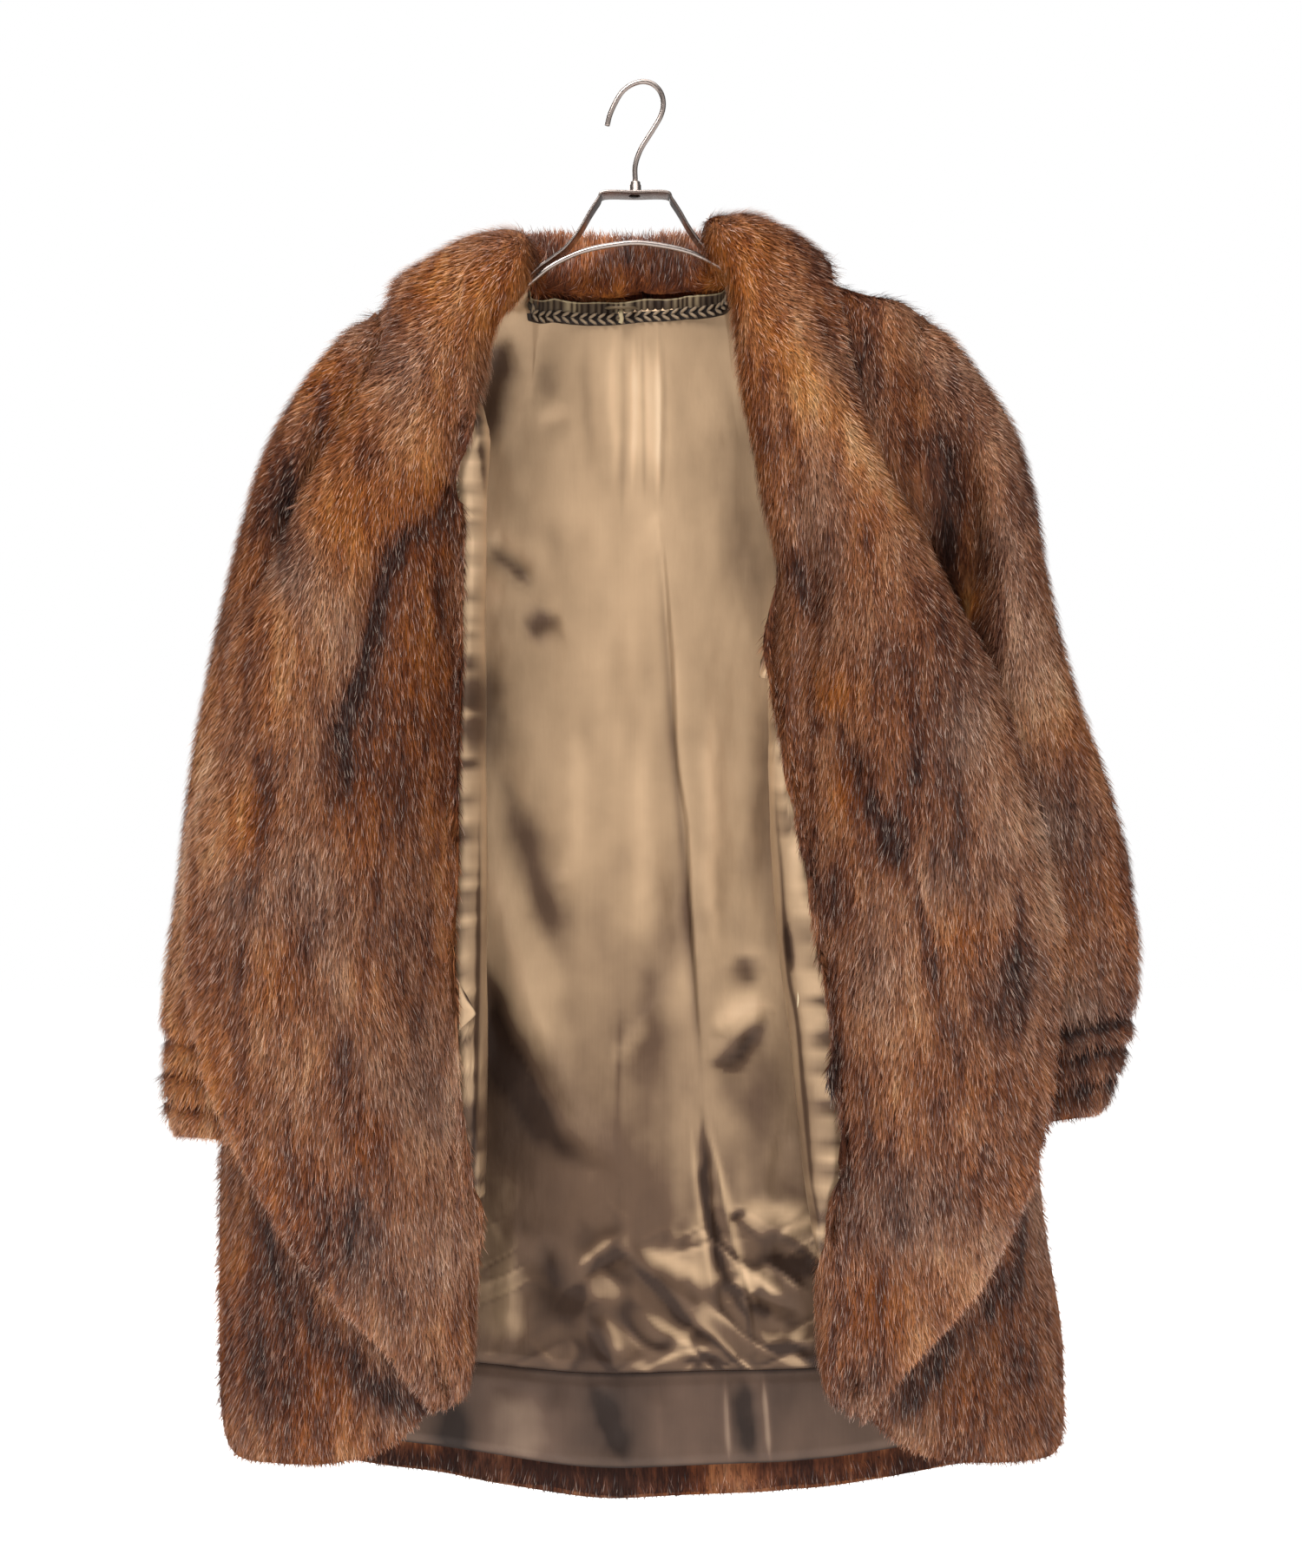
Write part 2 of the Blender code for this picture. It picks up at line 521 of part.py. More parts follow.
def wall(name, inner, outer):
    """A closed wall between two grids of points."""
    rows, columns = inner.shape[:2]
    vertices = np.concatenate([inner.reshape(-1, 3), outer.reshape(-1, 3)])
    shift = rows * columns

    def at(i, j, layer):
        return i * columns + j + layer * shift

    faces = []
    for i in range(rows - 1):
        for j in range(columns - 1):
            faces.append((at(i, j, 0), at(i, j + 1, 0), at(i + 1, j + 1, 0), at(i + 1, j, 0)))
            faces.append((at(i, j, 1), at(i + 1, j, 1), at(i + 1, j + 1, 1), at(i, j + 1, 1)))
    end = rows - 1
    for j in range(columns - 1):
        faces.append((at(0, j, 0), at(0, j, 1), at(0, j + 1, 1), at(0, j + 1, 0)))
        faces.append((at(end, j, 0), at(end, j + 1, 0), at(end, j + 1, 1), at(end, j, 1)))
    end = columns - 1
    for i in range(rows - 1):
        faces.append((at(i, 0, 0), at(i + 1, 0, 0), at(i + 1, 0, 1), at(i, 0, 1)))
        faces.append((at(i, end, 0), at(i, end, 1), at(i + 1, end, 1), at(i + 1, end, 0)))
    return mesh_object(name, vertices, faces)


def trimmed(grid, first=0.0, last=0.0, foot=0.0, top=0.0):
    """The grid with its border points drawn in, so that sewn pieces stay apart."""

    def pulled(a, b, far):
        step = b - a
        return a + step * (far / np.maximum(np.linalg.norm(step, axis=-1, keepdims=True), 1e-9))

    grid = grid.copy()
    grid[:, 0] = pulled(grid[:, 0], grid[:, 1], first)
    grid[:, -1] = pulled(grid[:, -1], grid[:, -2], last)
    grid[0] = pulled(grid[0], grid[1], foot)
    grid[-1] = pulled(grid[-1], grid[-2], top)
    return grid


def edge_taper(rows, columns, first, last, foot, top, full=FUR):
    """Thickness over a grid: full inside, and the given values along its borders."""
    thick = np.full((rows, columns), full)
    thick[:, 0] = np.minimum(thick[:, 0], first)
    thick[:, -1] = np.minimum(thick[:, -1], last)
    thick[0] = np.minimum(thick[0], foot)
    thick[-1] = np.minimum(thick[-1], top)
    return thick


def square_armhole(normal, sign):
    """Normals along a side: straight out below the armhole, and square to the sleeve above."""
    normal[: ARMPIT + 1] = (sign, 0, 0)
    normal[ARMPIT + 1 :, 0] = 0
    normal[ARMPIT + 1 :] /= np.linalg.norm(normal[ARMPIT + 1 :], axis=1, keepdims=True)


def taper_armhole(side):
    """Thin one side column of a wall towards and along the armhole."""
    side[ARMPIT:] = FUR_SEAM
    for row, thick in UNDERARM.items():
        side[row] = thick


def cut_wall(names, grid, normal, thick, cut):
    """Two walls side by side on one grid, a seam apart at column `cut`."""
    before, after = slice(cut + 1), slice(cut, None)
    first, second = trimmed(grid[:, before], last=SEAM_GAP), trimmed(grid[:, after], first=SEAM_GAP)
    wall(names[0], first, first + (normal * thick)[:, before])
    wall(names[1], second, second + (normal * thick)[:, after])


def build_front(name, flap_name, rows, sign):
    """Fur of one front: the panel up to the middle of the fold, and the flap's hidden side."""
    grid, normal = cut_sheet(rows, sign, 0, LAST, exterior_limits)
    grid, normal = trimmed(grid, SEAM_GAP, 0, 0, SEAM_GAP), -normal
    square_armhole(normal[:, 0], sign)
    thick = edge_taper(*grid.shape[:2], FUR, FUR_EDGE, FUR_EDGE, FUR)
    taper_armhole(thick[:, 0])
    cut_wall((name, flap_name), grid, normal, thick[..., None], APEX)


def build_shawl(name, rows, stations, sign, crease):
    """Fur of the facing and collar, with the flap's deep crease in its outer points."""
    grid, normal = shawl_grid(rows, stations, sign)
    grid = trimmed(grid, 0, 0, 0, SEAM_GAP)
    grid[len(rows) - 1 :, 0] += normal[len(rows) - 1 :, 0] * SEAM_GAP
    normal[-1] = normal[-1] * (0, 1, 1)
    normal[-1] /= np.linalg.norm(normal[-1], axis=-1, keepdims=True)
    thick = edge_taper(*grid.shape[:2], SHAWL_EDGE, SHAWL_EDGE, SHAWL_EDGE, FUR)
    neck = len(rows) - 2
    thick[neck : neck + 3, :3] = FUR_COLLAR  # three rows and columns at the shoulder
    pressed = CREASE_DEPTH * near_line(grid[..., 0], grid[..., 2], crease, CREASE_WIDTH)
    thick = thick - pressed * (thick >= FUR)
    inner = grid + normal * FACING_LIFT
    return wall(name, inner, inner + normal * thick[..., None])


def build_front_lining(name, rows, sign):
    """Satin of one front on the leather's inner side."""
    grid, normal = front_lining_grid(rows, sign)
    grid = trimmed(grid, LINING_SIDE, 0, 0, LINING_TOP)
    inner = grid + normal * LINING_LIFT
    return wall(name, inner, inner + normal * SATIN)


def build_back(name):
    """Fur of the back panel."""
    grid = trimmed(back_grid(), SEAM_GAP, SEAM_GAP, 0, 2 * SEAM_GAP)
    normal = grid_normals(grid) * -1
    square_armhole(normal[:, 0], -1)
    square_armhole(normal[:, -1], 1)
    thick = edge_taper(*grid.shape[:2], FUR, FUR, FUR_EDGE, FUR)
    taper_armhole(thick[:, 0])
    taper_armhole(thick[:, -1])
    return wall(name, grid, grid + normal * thick[..., None])


def back_lining_depth(grid):
    """How far the lining hangs off the leather: soft waves, a trough and the pleat."""
    x, z = grid[..., 0], grid[..., 2]
    rows, columns = x.shape
    wave = np.sin(x / LINING_WAVE_WIDTH + WAVE_START) * np.clip((WAVE_TOP - z) / WAVE_GROWTH, 0, 1)
    loose = LINING_HANG + LINING_WAVE * wave
    loose += PLEAT_RISE * near_line(x, z, LINING_PLEAT, PLEAT_WIDTH)
    loose += TROUGH_RIM * near_line(x - TROUGH_RIM_SHIFT, z, LINING_TROUGH, TROUGH_RIM_WIDTH)
    loose -= TROUGH_DEPTH * near_line(x, z, LINING_TROUGH, TROUGH_WIDTH)
    loose = LINING_SEWN + (loose - LINING_SEWN) * np.clip((NECK_FOOT - z) / NECK_GROWTH, 0, 1)
    loose[-1] = loose[:, 0] = loose[:, -1] = LINING_SEWN
    return np.maximum(loose, LINING_LEAST)[..., None]


def build_back_lining(name, band_name):
    """Satin of the back, and the separate band along its hem."""
    grid = back_grid()
    grid[0] = grid[0] + HEM_SHORT * (grid[1] - grid[0])
    grid = trimmed(grid, LINING_SIDE, LINING_SIDE, 0, LINING_TOP)
    normal = grid_normals(grid)
    hung = grid + normal * back_lining_depth(grid)
    cut = HEM_BAND_ROWS
    band, body = hung[: cut + 1].copy(), trimmed(hung[cut:], foot=SEAM_GAP)
    wall(band_name, band, band + normal[: cut + 1] * SATIN)
    wall(name, body, body + normal[cut:] * SATIN)


def build_sleeve(name, rows, rings, sign):
    """Fur of one sleeve, an open tube in two halves, with the ridged bands above its cuff."""
    grid = sleeve_grid(rows, rings, sign)
    normal = grid_normals(grid, closed=True) * sign
    middle = grid.mean(axis=1, keepdims=True)
    flip = np.where(((grid - middle) * normal).sum(axis=2).mean(axis=1) < 0, -1.0, 1.0)
    normal = normal * flip[:, None, None]
    thick = np.array([FUR_SEAM] + [ring.fur for ring in rings])[:, None, None]
    columns = np.arange(SLEEVE_POINTS + 1) % SLEEVE_POINTS
    opened = trimmed(grid[:, columns], SEAM_GAP, SEAM_GAP)
    cut_wall((f"{name}_front", f"{name}_back"), opened, normal[:, columns], thick, SLEEVE_POINTS // 2)


# --- trims ----------------------------------------------------------------------------
def neck_strip(count, top, foot, ripple, thick):
    """A strip just below the back neckline: top and foot are distances down from it."""
    line = even(neckline(), count)[NECK_TRIM:-NECK_TRIM]
    inward = np.column_stack([-NECK_TURN * line[:, 0], np.full(len(line), -1.0), np.zeros(len(line))])
    inward /= np.linalg.norm(inward, axis=1, keepdims=True)
    wave = ripple * np.where(np.arange(len(line)) % 2, 1.0, -1.0)[:, None]
    inner, outer = [], []
    for level in (foot, top):
        base = line - np.array([0, 0, level]) + inward * TRIM_LIFT
        inner.append(base)
        outer.append(base + inward * (thick + ripple + wave))
    return np.array(inner), np.array(outer)


def build_neck_trims():
    """Ruched satin band, braid under it, and the loop for a wall peg."""
    wall("neck_band", *neck_strip(BAND_POINTS, BAND_TOP, BAND_FOOT, BAND_RUFFLE, BAND_CLOTH))
    wall("neck_braid", *neck_strip(BRAID_POINTS, BRAID_TOP, BRAID_FOOT, BRAID_RUFFLE, BRAID_CLOTH))
    turns = np.linspace(0, math.pi, 9)
    sides = []
    for grown in (0.0, LOOP_CORD):
        x = LOOP_X + (LOOP_HALF + grown) * np.cos(turns)
        y = LOOP_Y - (LOOP_OUT + grown) * np.sin(turns)
        sides.append(np.array([np.column_stack([x, y, 0 * x + z]) for z in (LOOP_Z, LOOP_Z + LOOP_TALL)]))
    wall("hanger_loop", *sides)


def build_tabs():
    """The small folded satin tabs that stand out from the fold of each front."""
    plates = {
        "tab_right": ((0.0, 1.0, 0.0), [(97, 4, -408), (88, 4, -432), (87, 4, -444), (98, 4, -446)]),
        "tab_left": ((0.35, -0.94, 0.0), [(-134, -57, -667), (-121, -49, -692), (-134, -57, -703)]),
    }
    for name, (facing, outline) in plates.items():
        front = np.array(outline, float)
        back = front + TAB_CLOTH * np.array(facing)
        n = len(outline)
        sides = [(k, (k + 1) % n, n + (k + 1) % n, n + k) for k in range(n)]
        mesh_object(name, [*back, *front], [tuple(range(n)), tuple(range(n, 2 * n)), *sides])


# --- hanger ---------------------------------------------------------------------------
def tube(name, path, radius, sides):
    """A round bar along a polyline of 3D points, closed at both ends."""
    path = np.asarray(path, float)
    tangent = np.gradient(path, axis=0)
    tangent /= np.linalg.norm(tangent, axis=1, keepdims=True)
    across = np.tile((0.0, 1.0, 0.0), (len(path), 1))
    up = np.cross(tangent, across)
    vertices = []
    for centre, a, b in zip(path, across, up):
        for k in range(sides):
            angle = 2 * math.pi * k / sides
            vertices.append(centre + radius * (math.cos(angle) * a + math.sin(angle) * b))
    faces = [tuple(range(sides)), tuple(range(len(vertices) - sides, len(vertices)))]
    for i in range(len(path) - 1):
        for k in range(sides):
            a, b = i * sides + k, i * sides + (k + 1) % sides
            faces.append((a, b, b + sides, a + sides))
    return mesh_object(name, vertices, faces)


def mirrored_path(half):
    """A path through both halves of the hanger, from left end to right end."""
    left = [(HANGER_X - x, z) for x, z in half[:0:-1]]
    return np.array(left + [(HANGER_X + x, z) for x, z in half], float)


def build_hanger():
    """Bent steel band, lower bar, ferrule and swivel hook."""
    path = mirrored_path(BAND_HALF)
    tangent = np.gradient(path, axis=0)
    tangent /= np.linalg.norm(tangent, axis=1, keepdims=True)
    side = np.column_stack([-tangent[:, 1], tangent[:, 0]]) * BAND_THICK / 2
    half = np.interp(np.abs(path[:, 0] - HANGER_X), list(BAND_DEPTH), list(BAND_DEPTH.values())) / 2
    grids = []
    for line in (path - side, path + side):
        grids.append(np.array([np.column_stack([line[:, 0], edge * half, line[:, 1]]) for edge in (-1, 1)]))
    wall("hanger_band", *grids)
    bar = [(x, BAR_Y, z) for x, z in mirrored_path(BAR_HALF)]
    tube("hanger_bar", bar, BAR_RADIUS, sides=6)
    stem = [(HANGER_X, 0.0, z) for z in (FERRULE_FOOT, FERRULE_TOP)]
    tube("hanger_ferrule", stem, FERRULE_RADIUS, sides=12)
    tube("hanger_hook", catmull([(x, 0.0, z) for x, z in HOOK_PATH], 2), HOOK_RADIUS, sides=8)


# --- materials ------------------------------------------------------------------------
FINISHES = {
    "fur": ((0.195, 0.070, 0.026), 0.85, 0.0),
    "satin": ((0.345, 0.245, 0.150), 0.38, 0.0),
    "trim": ((0.115, 0.080, 0.050), 0.55, 0.0),
    "steel": ((0.62, 0.60, 0.58), 0.28, 1.0),
}


def material(name, finish):
    """A plain finish in the named cloth's or metal's colour."""
    colour, roughness, metallic = FINISHES[finish]
    made = bpy.data.materials.new(name)
    made.use_nodes = True
    shader = made.node_tree.nodes["Principled BSDF"]
    shader.inputs["Base Color"].default_value = (*colour, 1.0)
    shader.inputs["Roughness"].default_value = roughness
    shader.inputs["Metallic"].default_value = metallic
    made.diffuse_color = (*colour, 1.0)
    return made


def finish_of(name):
    """Which finish a piece has, from its name."""
    if name.startswith("hanger_") and name != "hanger_loop":
        return "steel"
    if name.startswith(("lining", "hem", "tab")):
        return "satin"
    if name in ("neck_band", "neck_braid", "hanger_loop"):
        return "trim"
    return "fur"


def build():
    """Clear the scene and make every piece of the coat and the hanger."""
    for thing in list(bpy.data.objects):
        bpy.data.objects.remove(thing, do_unlink=True)
    build_back("back")
    sides = (
        ("left", FRONT_LEFT, COLLAR_LEFT, SLEEVE_LEFT, CREASE_LEFT, -1),
        ("right", FRONT_RIGHT, COLLAR_RIGHT, SLEEVE_RIGHT, CREASE_RIGHT, 1),
    )
    for side, rows, stations, rings, crease, sign in sides:
        build_front(f"front_{side}", f"flap_{side}", rows, sign)
        build_shawl(f"shawl_{side}", rows, stations, sign, crease)
        build_sleeve(f"sleeve_{side}", rows, rings, sign)
        build_front_lining(f"lining_front_{side}", rows, sign)
    build_back_lining("lining_back", "hem_band")
    build_neck_trims()
    build_tabs()
    build_hanger()
    for thing in bpy.data.objects:
        thing.data.materials.append(material(f"{thing.name}_{finish_of(thing.name)}", finish_of(thing.name)))
        for polygon in thing.data.polygons:
            polygon.use_smooth = True


build()
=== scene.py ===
"""Dress the fur coat: fur, satin lining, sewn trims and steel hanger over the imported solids.

The coat hangs open on its hanger with both fronts turned back. Everything is in metres in
the frame of the solids: +Z is up, the open front looks along -Y, +X is the viewer's right
and the origin is the inside top of the hanger's hook. Tables of places are in millimetres.
"left" and "right" are the viewer's.
"""

from __future__ import annotations

import json
import logging
import math
from dataclasses import dataclass, field
from enum import Enum
from typing import Sequence

import bmesh
import bpy
import numpy as np
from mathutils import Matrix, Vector
from mathutils.bvhtree import BVHTree
from mathutils.kdtree import KDTree

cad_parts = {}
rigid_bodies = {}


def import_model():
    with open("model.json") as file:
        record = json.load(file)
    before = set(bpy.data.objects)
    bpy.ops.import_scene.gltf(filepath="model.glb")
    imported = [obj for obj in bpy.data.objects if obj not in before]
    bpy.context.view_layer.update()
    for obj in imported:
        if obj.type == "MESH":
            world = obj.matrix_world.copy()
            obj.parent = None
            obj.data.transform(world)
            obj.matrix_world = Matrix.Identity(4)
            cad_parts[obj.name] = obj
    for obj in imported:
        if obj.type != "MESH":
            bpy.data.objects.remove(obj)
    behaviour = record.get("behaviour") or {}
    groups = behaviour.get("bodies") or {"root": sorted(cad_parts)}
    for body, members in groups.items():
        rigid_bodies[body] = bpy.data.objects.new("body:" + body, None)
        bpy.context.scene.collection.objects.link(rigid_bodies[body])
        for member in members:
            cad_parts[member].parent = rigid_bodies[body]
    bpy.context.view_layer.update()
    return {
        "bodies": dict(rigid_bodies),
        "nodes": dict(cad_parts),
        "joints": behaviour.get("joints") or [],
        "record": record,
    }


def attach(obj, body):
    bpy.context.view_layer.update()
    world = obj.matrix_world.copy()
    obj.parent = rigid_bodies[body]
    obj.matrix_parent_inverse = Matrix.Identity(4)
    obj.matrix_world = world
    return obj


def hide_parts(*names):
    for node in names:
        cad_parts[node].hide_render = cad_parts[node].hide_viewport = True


LOG = logging.getLogger("fur_coat")
MM = 0.001
BODY = "root"
SEED = 20

Points = Sequence[tuple[float, float]]


# --- colours and nodes -----------------------------------------------------------------
def linear(code: str) -> tuple[float, float, float, float]:
    """Turn an sRGB hex colour into linear RGBA.

    Args:
        code: Colour as "#RRGGBB".

    Returns:
        The linear red, green, blue and an alpha of 1.
    """
    parts = [int(code[k : k + 2], 16) / 255 for k in (1, 3, 5)]
    red, green, blue = (p / 12.92 if p <= 0.04045 else ((p + 0.055) / 1.055) ** 2.4 for p in parts)
    return red, green, blue, 1.0


def add_node(
    tree: bpy.types.NodeTree,
    kind: str,
    inputs: dict | None = None,
    stops: Sequence[tuple[float, str]] = (),
    **settings: object,
) -> bpy.types.Node:
    """Add a node with its settings, values, links and colour stops.

    Args:
        tree: Node tree that gets the node.
        kind: Type name of the node.
        inputs: Values, sockets or nodes by input name or index. A node gives its first output.
        stops: Position and hex colour of each stop, for a colour ramp.
        **settings: Properties of the node.

    Returns:
        The new node.
    """
    node = tree.nodes.new(kind)
    for name, value in settings.items():
        setattr(node, name, value)
    for key, value in (inputs or {}).items():
        value = value.outputs[0] if isinstance(value, bpy.types.Node) else value
        if isinstance(value, bpy.types.NodeSocket):
            tree.links.new(value, node.inputs[key])
        else:
            node.inputs[key].default_value = value
    if stops:
        ramp = node.color_ramp
        while len(ramp.elements) < len(stops):
            ramp.elements.new(0.5)
        for element, (place, colour) in zip(ramp.elements, stops):
            element.position = place
            element.color = linear(colour)
    return node


def new_material(name: str) -> tuple[bpy.types.Material, bpy.types.NodeTree]:
    """Make an empty node material.

    Args:
        name: Name of the material.

    Returns:
        The material and its node tree.
    """
    made = bpy.data.materials.new(name)
    made.use_nodes = True
    made.node_tree.nodes.clear()
    return made, made.node_tree


def finish_with(tree: bpy.types.NodeTree, shader: bpy.types.Node) -> None:
    """Link a shader to a new material output."""
    add_node(tree, "ShaderNodeOutputMaterial", {"Surface": shader})


# --- numbers ----------------------------------------------------------------------------
def smoothstep(low: float, high: float, value: np.ndarray) -> np.ndarray:
    """Rise softly from 0 at `low` to 1 at `high`."""
    t = np.clip((value - low) / (high - low), 0.0, 1.0)
    return t * t * (3.0 - 2.0 * t)


def unit(vectors: np.ndarray) -> np.ndarray:
    """Scale each row of vectors to length 1."""
    return vectors / np.maximum(np.linalg.norm(vectors, axis=-1, keepdims=True), 1e-12)


def value_noise(points: np.ndarray, size: Sequence[float], seed: int) -> np.ndarray:
    """Smooth noise from -1 to 1.

    Args:
        points: Positions in metres, one a row.
        size: Width of the noise's cells along X, Y and Z, in metres.
        seed: Number that picks the pattern.

    Returns:
        One value for each point.
    """
    scaled = points / np.asarray(size, float) + seed * 7.31
    cell = np.floor(scaled).astype(np.int64)
    share = scaled - cell
    share = share * share * (3 - 2 * share)
    total = np.zeros(len(points))
    for corner in range(8):
        step = np.array([corner & 1, corner >> 1 & 1, corner >> 2 & 1])
        key = (cell + step) @ np.array([374761393, 668265263, 2147483647]) + seed * 1274126177
        key = (key ^ (key >> 13)) * 1274126177 & 0x7FFFFFFF
        key = (key ^ (key >> 16)) & 0xFFFF
        weight = np.prod(np.where(step, share, 1 - share), axis=1)
        total += weight * (key / 32767.5 - 1.0)
    return total


def smooth_curve(points: Points, steps: int = 6) -> np.ndarray:
    """Points of a smooth curve through all the given ones.

    Args:
        points: Points that the curve passes through.
        steps: Points made for each span.

    Returns:
        The curve's points, one a row.
    """
    pts = np.asarray(points, float)
    ends = np.vstack([2 * pts[0] - pts[1], pts, 2 * pts[-1] - pts[-2]])
    t = (np.arange(steps) / steps)[:, None]
    spans = []
    for a, b, c, d in zip(ends, ends[1:], ends[2:], ends[3:]):
        curve = 2 * b + (c - a) * t + (2 * a - 5 * b + 4 * c - d) * t**2 + (3 * b - a - 3 * c + d) * t**3
        spans.append(0.5 * curve)
    return np.vstack([*spans, pts[-1]])


@dataclass(frozen=True)
class Stroke:
    """A soft line drawn on the coat as it is seen from the front: a fold or a shade.

    Attributes:
        path: X and Z of its line, in mm.
        amount: Height of a fold, in mm, or tone of a shade; troughs and shadows are negative.
        left: Width of its slope on the left of the line as it runs down, in mm.
        right: Width of its slope on the other side, in mm.
    """

    path: Points
    amount: float
    left: float
    right: float

    def at(self, places: np.ndarray) -> np.ndarray:
        """Share of the amount at each place, from X and Z in metres; it tapers off at both ends."""
        line = smooth_curve(self.path) * MM
        x, z = places[:, 0], places[:, 2]
        reach = 3 * max(self.left, self.right) * MM
        near = (x > line[:, 0].min() - reach) & (x < line[:, 0].max() + reach)
        near &= (z > line[:, 1].min() - reach) & (z < line[:, 1].max() + reach)
        x, z = x[near], z[near]
        best, side, share = np.full(len(x), 1e9), np.zeros(len(x)), np.zeros(len(x))
        lengths = np.concatenate([[0.0], np.cumsum(np.linalg.norm(np.diff(line, axis=0), axis=1))])
        for k, (start, end) in enumerate(zip(line, line[1:])):
            step = end - start
            length = max(float(np.hypot(*step)), 1e-9)
            t = np.clip(((x - start[0]) * step[0] + (z - start[1]) * step[1]) / length**2, 0, 1)
            dx, dz = x - start[0] - t * step[0], z - start[1] - t * step[1]
            away = np.hypot(dx, dz)
            closer = away < best
            best = np.where(closer, away, best)
            side = np.where(closer, np.sign(step[0] * dz - step[1] * dx), side)
            share = np.where(closer, (lengths[k] + t * length) / lengths[-1], share)
        fade = smoothstep(-0.04, 0.34, share) * smoothstep(-0.04, 0.34, 1 - share)
        width = np.where(side > 0, self.right, self.left) * MM * (0.35 + 0.65 * fade)
        out = np.zeros(len(places))
        out[near] = self.amount * np.exp(-((best / width) ** 2)) * fade
        return out


def strokes(*rows: tuple[Points, float, float, float]) -> tuple[Stroke, ...]:
    """Strokes from rows of path, amount, left width and right width."""
    return tuple(Stroke(*row) for row in rows)


CRISP = 3.5  # strokes narrower than this, in mm, are pressed creases and keep their line


def drawn(strokes: Sequence[Stroke], places: np.ndarray, waver: float = 0.0) -> np.ndarray:
    """Sum of some strokes at each place.

    Args:
        strokes: Strokes to add up.
        places: Points of the cloth, in metres.
        waver: How far the strokes' edges wander, in metres.

    Returns:
        The sum for each point.
    """
    bent = places.copy()
    for axis in (0, 2):
        bent[:, axis] += waver * value_noise(places, (0.030, 0.030, 0.030), SEED + 70 + axis)
        bent[:, axis] += 0.5 * waver * value_noise(places, (0.011, 0.011, 0.011), SEED + 80 + axis)
    total = np.zeros(len(places))
    for stroke in strokes:
        crisp = min(stroke.left, stroke.right) < CRISP
        total += stroke.at(places if crisp else bent)
    return total


# --- meshes -----------------------------------------------------------------------------
def mesh_object(
    name: str, vertices: np.ndarray, faces: Sequence[Sequence[int]], smooth: bool = True
) -> bpy.types.Object:
    """Make an object at the origin from points and faces.

    Args:
        name: Name of the object and its mesh.
        vertices: Points in metres, one a row.
        faces: Corner numbers of each face.
        smooth: Whether its faces are shaded smooth.

    Returns:
        The new object, in the scene.
    """
    mesh = bpy.data.meshes.new(name)
    mesh.from_pydata([tuple(map(float, v)) for v in vertices], [], [tuple(f) for f in faces])
    mesh.validate()
    mesh.polygons.foreach_set("use_smooth", [smooth] * len(mesh.polygons))
    mesh.update()
    return in_scene(name, mesh)


def grid_object(name: str, grid: np.ndarray) -> bpy.types.Object:
    """Make a sheet of quads from rows of points, each row joined to the next."""
    count = grid.shape[1]
    faces = [
        (i * count + j, i * count + j + 1, (i + 1) * count + j + 1, (i + 1) * count + j)
        for i in range(len(grid) - 1)
        for j in range(count - 1)
    ]
    return mesh_object(name, grid.reshape(-1, 3), faces)


def positions(mesh: bpy.types.Mesh) -> np.ndarray:
    """Vertex positions of a mesh, one a row."""
    flat = np.empty(len(mesh.vertices) * 3)
    mesh.vertices.foreach_get("co", flat)
    return flat.reshape(-1, 3)


def normals(mesh: bpy.types.Mesh) -> np.ndarray:
    """Vertex normals of a mesh, one a row."""
    flat = np.empty(len(mesh.vertices) * 3)
    mesh.vertex_normals.foreach_get("vector", flat)
    return flat.reshape(-1, 3)


def move_to(mesh: bpy.types.Mesh, places: np.ndarray) -> None:
    """Set all vertex positions of a mesh."""
    mesh.vertices.foreach_set("co", np.ascontiguousarray(places, np.float32).ravel())
    mesh.update()


def store(mesh: bpy.types.Mesh, name: str, values: np.ndarray) -> None:
    """Keep a number or a vector for each vertex as a named attribute."""
    kind, key = ("FLOAT_VECTOR", "vector") if values.ndim == 2 else ("FLOAT", "value")
    layer = mesh.attributes.get(name) or mesh.attributes.new(name, kind, "POINT")
    layer.data.foreach_set(key, np.ascontiguousarray(values, np.float32).ravel())


def recall(mesh: bpy.types.Mesh, name: str) -> np.ndarray:
    """Read a named number of each vertex."""
    flat = np.empty(len(mesh.vertices), np.float32)
    mesh.attributes[name].data.foreach_get("value", flat)
    return flat.astype(float)


def settle(thing: bpy.types.Object) -> bpy.types.Object:
    """Turn an object's live modifiers into its plain mesh.

    Args:
        thing: Mesh object with modifiers.

    Returns:
        The same object, with the result as its mesh and no modifier.
    """
    graph = bpy.context.evaluated_depsgraph_get()
    mesh = bpy.data.meshes.new_from_object(
        thing.evaluated_get(graph), preserve_all_data_layers=True, depsgraph=graph
    )
    thing.modifiers.clear()
    old, thing.data = thing.data, mesh
    mesh.name = thing.name
    bpy.data.meshes.remove(old)
    return thing


def in_scene(name: str, mesh: bpy.types.Mesh) -> bpy.types.Object:
    """Put a mesh into the scene as an object at the origin."""
    thing = bpy.data.objects.new(name, mesh)
    bpy.context.scene.collection.objects.link(thing)
    return thing


def new_group(
    name: str, takes: str, inputs: dict[str, str], gives: str
) -> tuple[bpy.types.NodeTree, bpy.types.bpy_prop_collection]:
    """Start a Geometry Nodes tree with named inputs.

    Args:
        name: Name of the tree.
        takes: Name of the geometry that it starts from.
        inputs: Kind of each further input by its name.
        gives: Name of the geometry that it makes.

    Returns:
        The tree and the sockets of its inputs.
    """
    tree = bpy.data.node_groups.new(name, "GeometryNodeTree")
    for label, kind in {takes: "Geometry", **inputs}.items():
        tree.interface.new_socket(label, in_out="INPUT", socket_type=f"NodeSocket{kind}")
    tree.interface.new_socket(gives, in_out="OUTPUT", socket_type="NodeSocketGeometry")
    return tree, add_node(tree, "NodeGroupInput").outputs


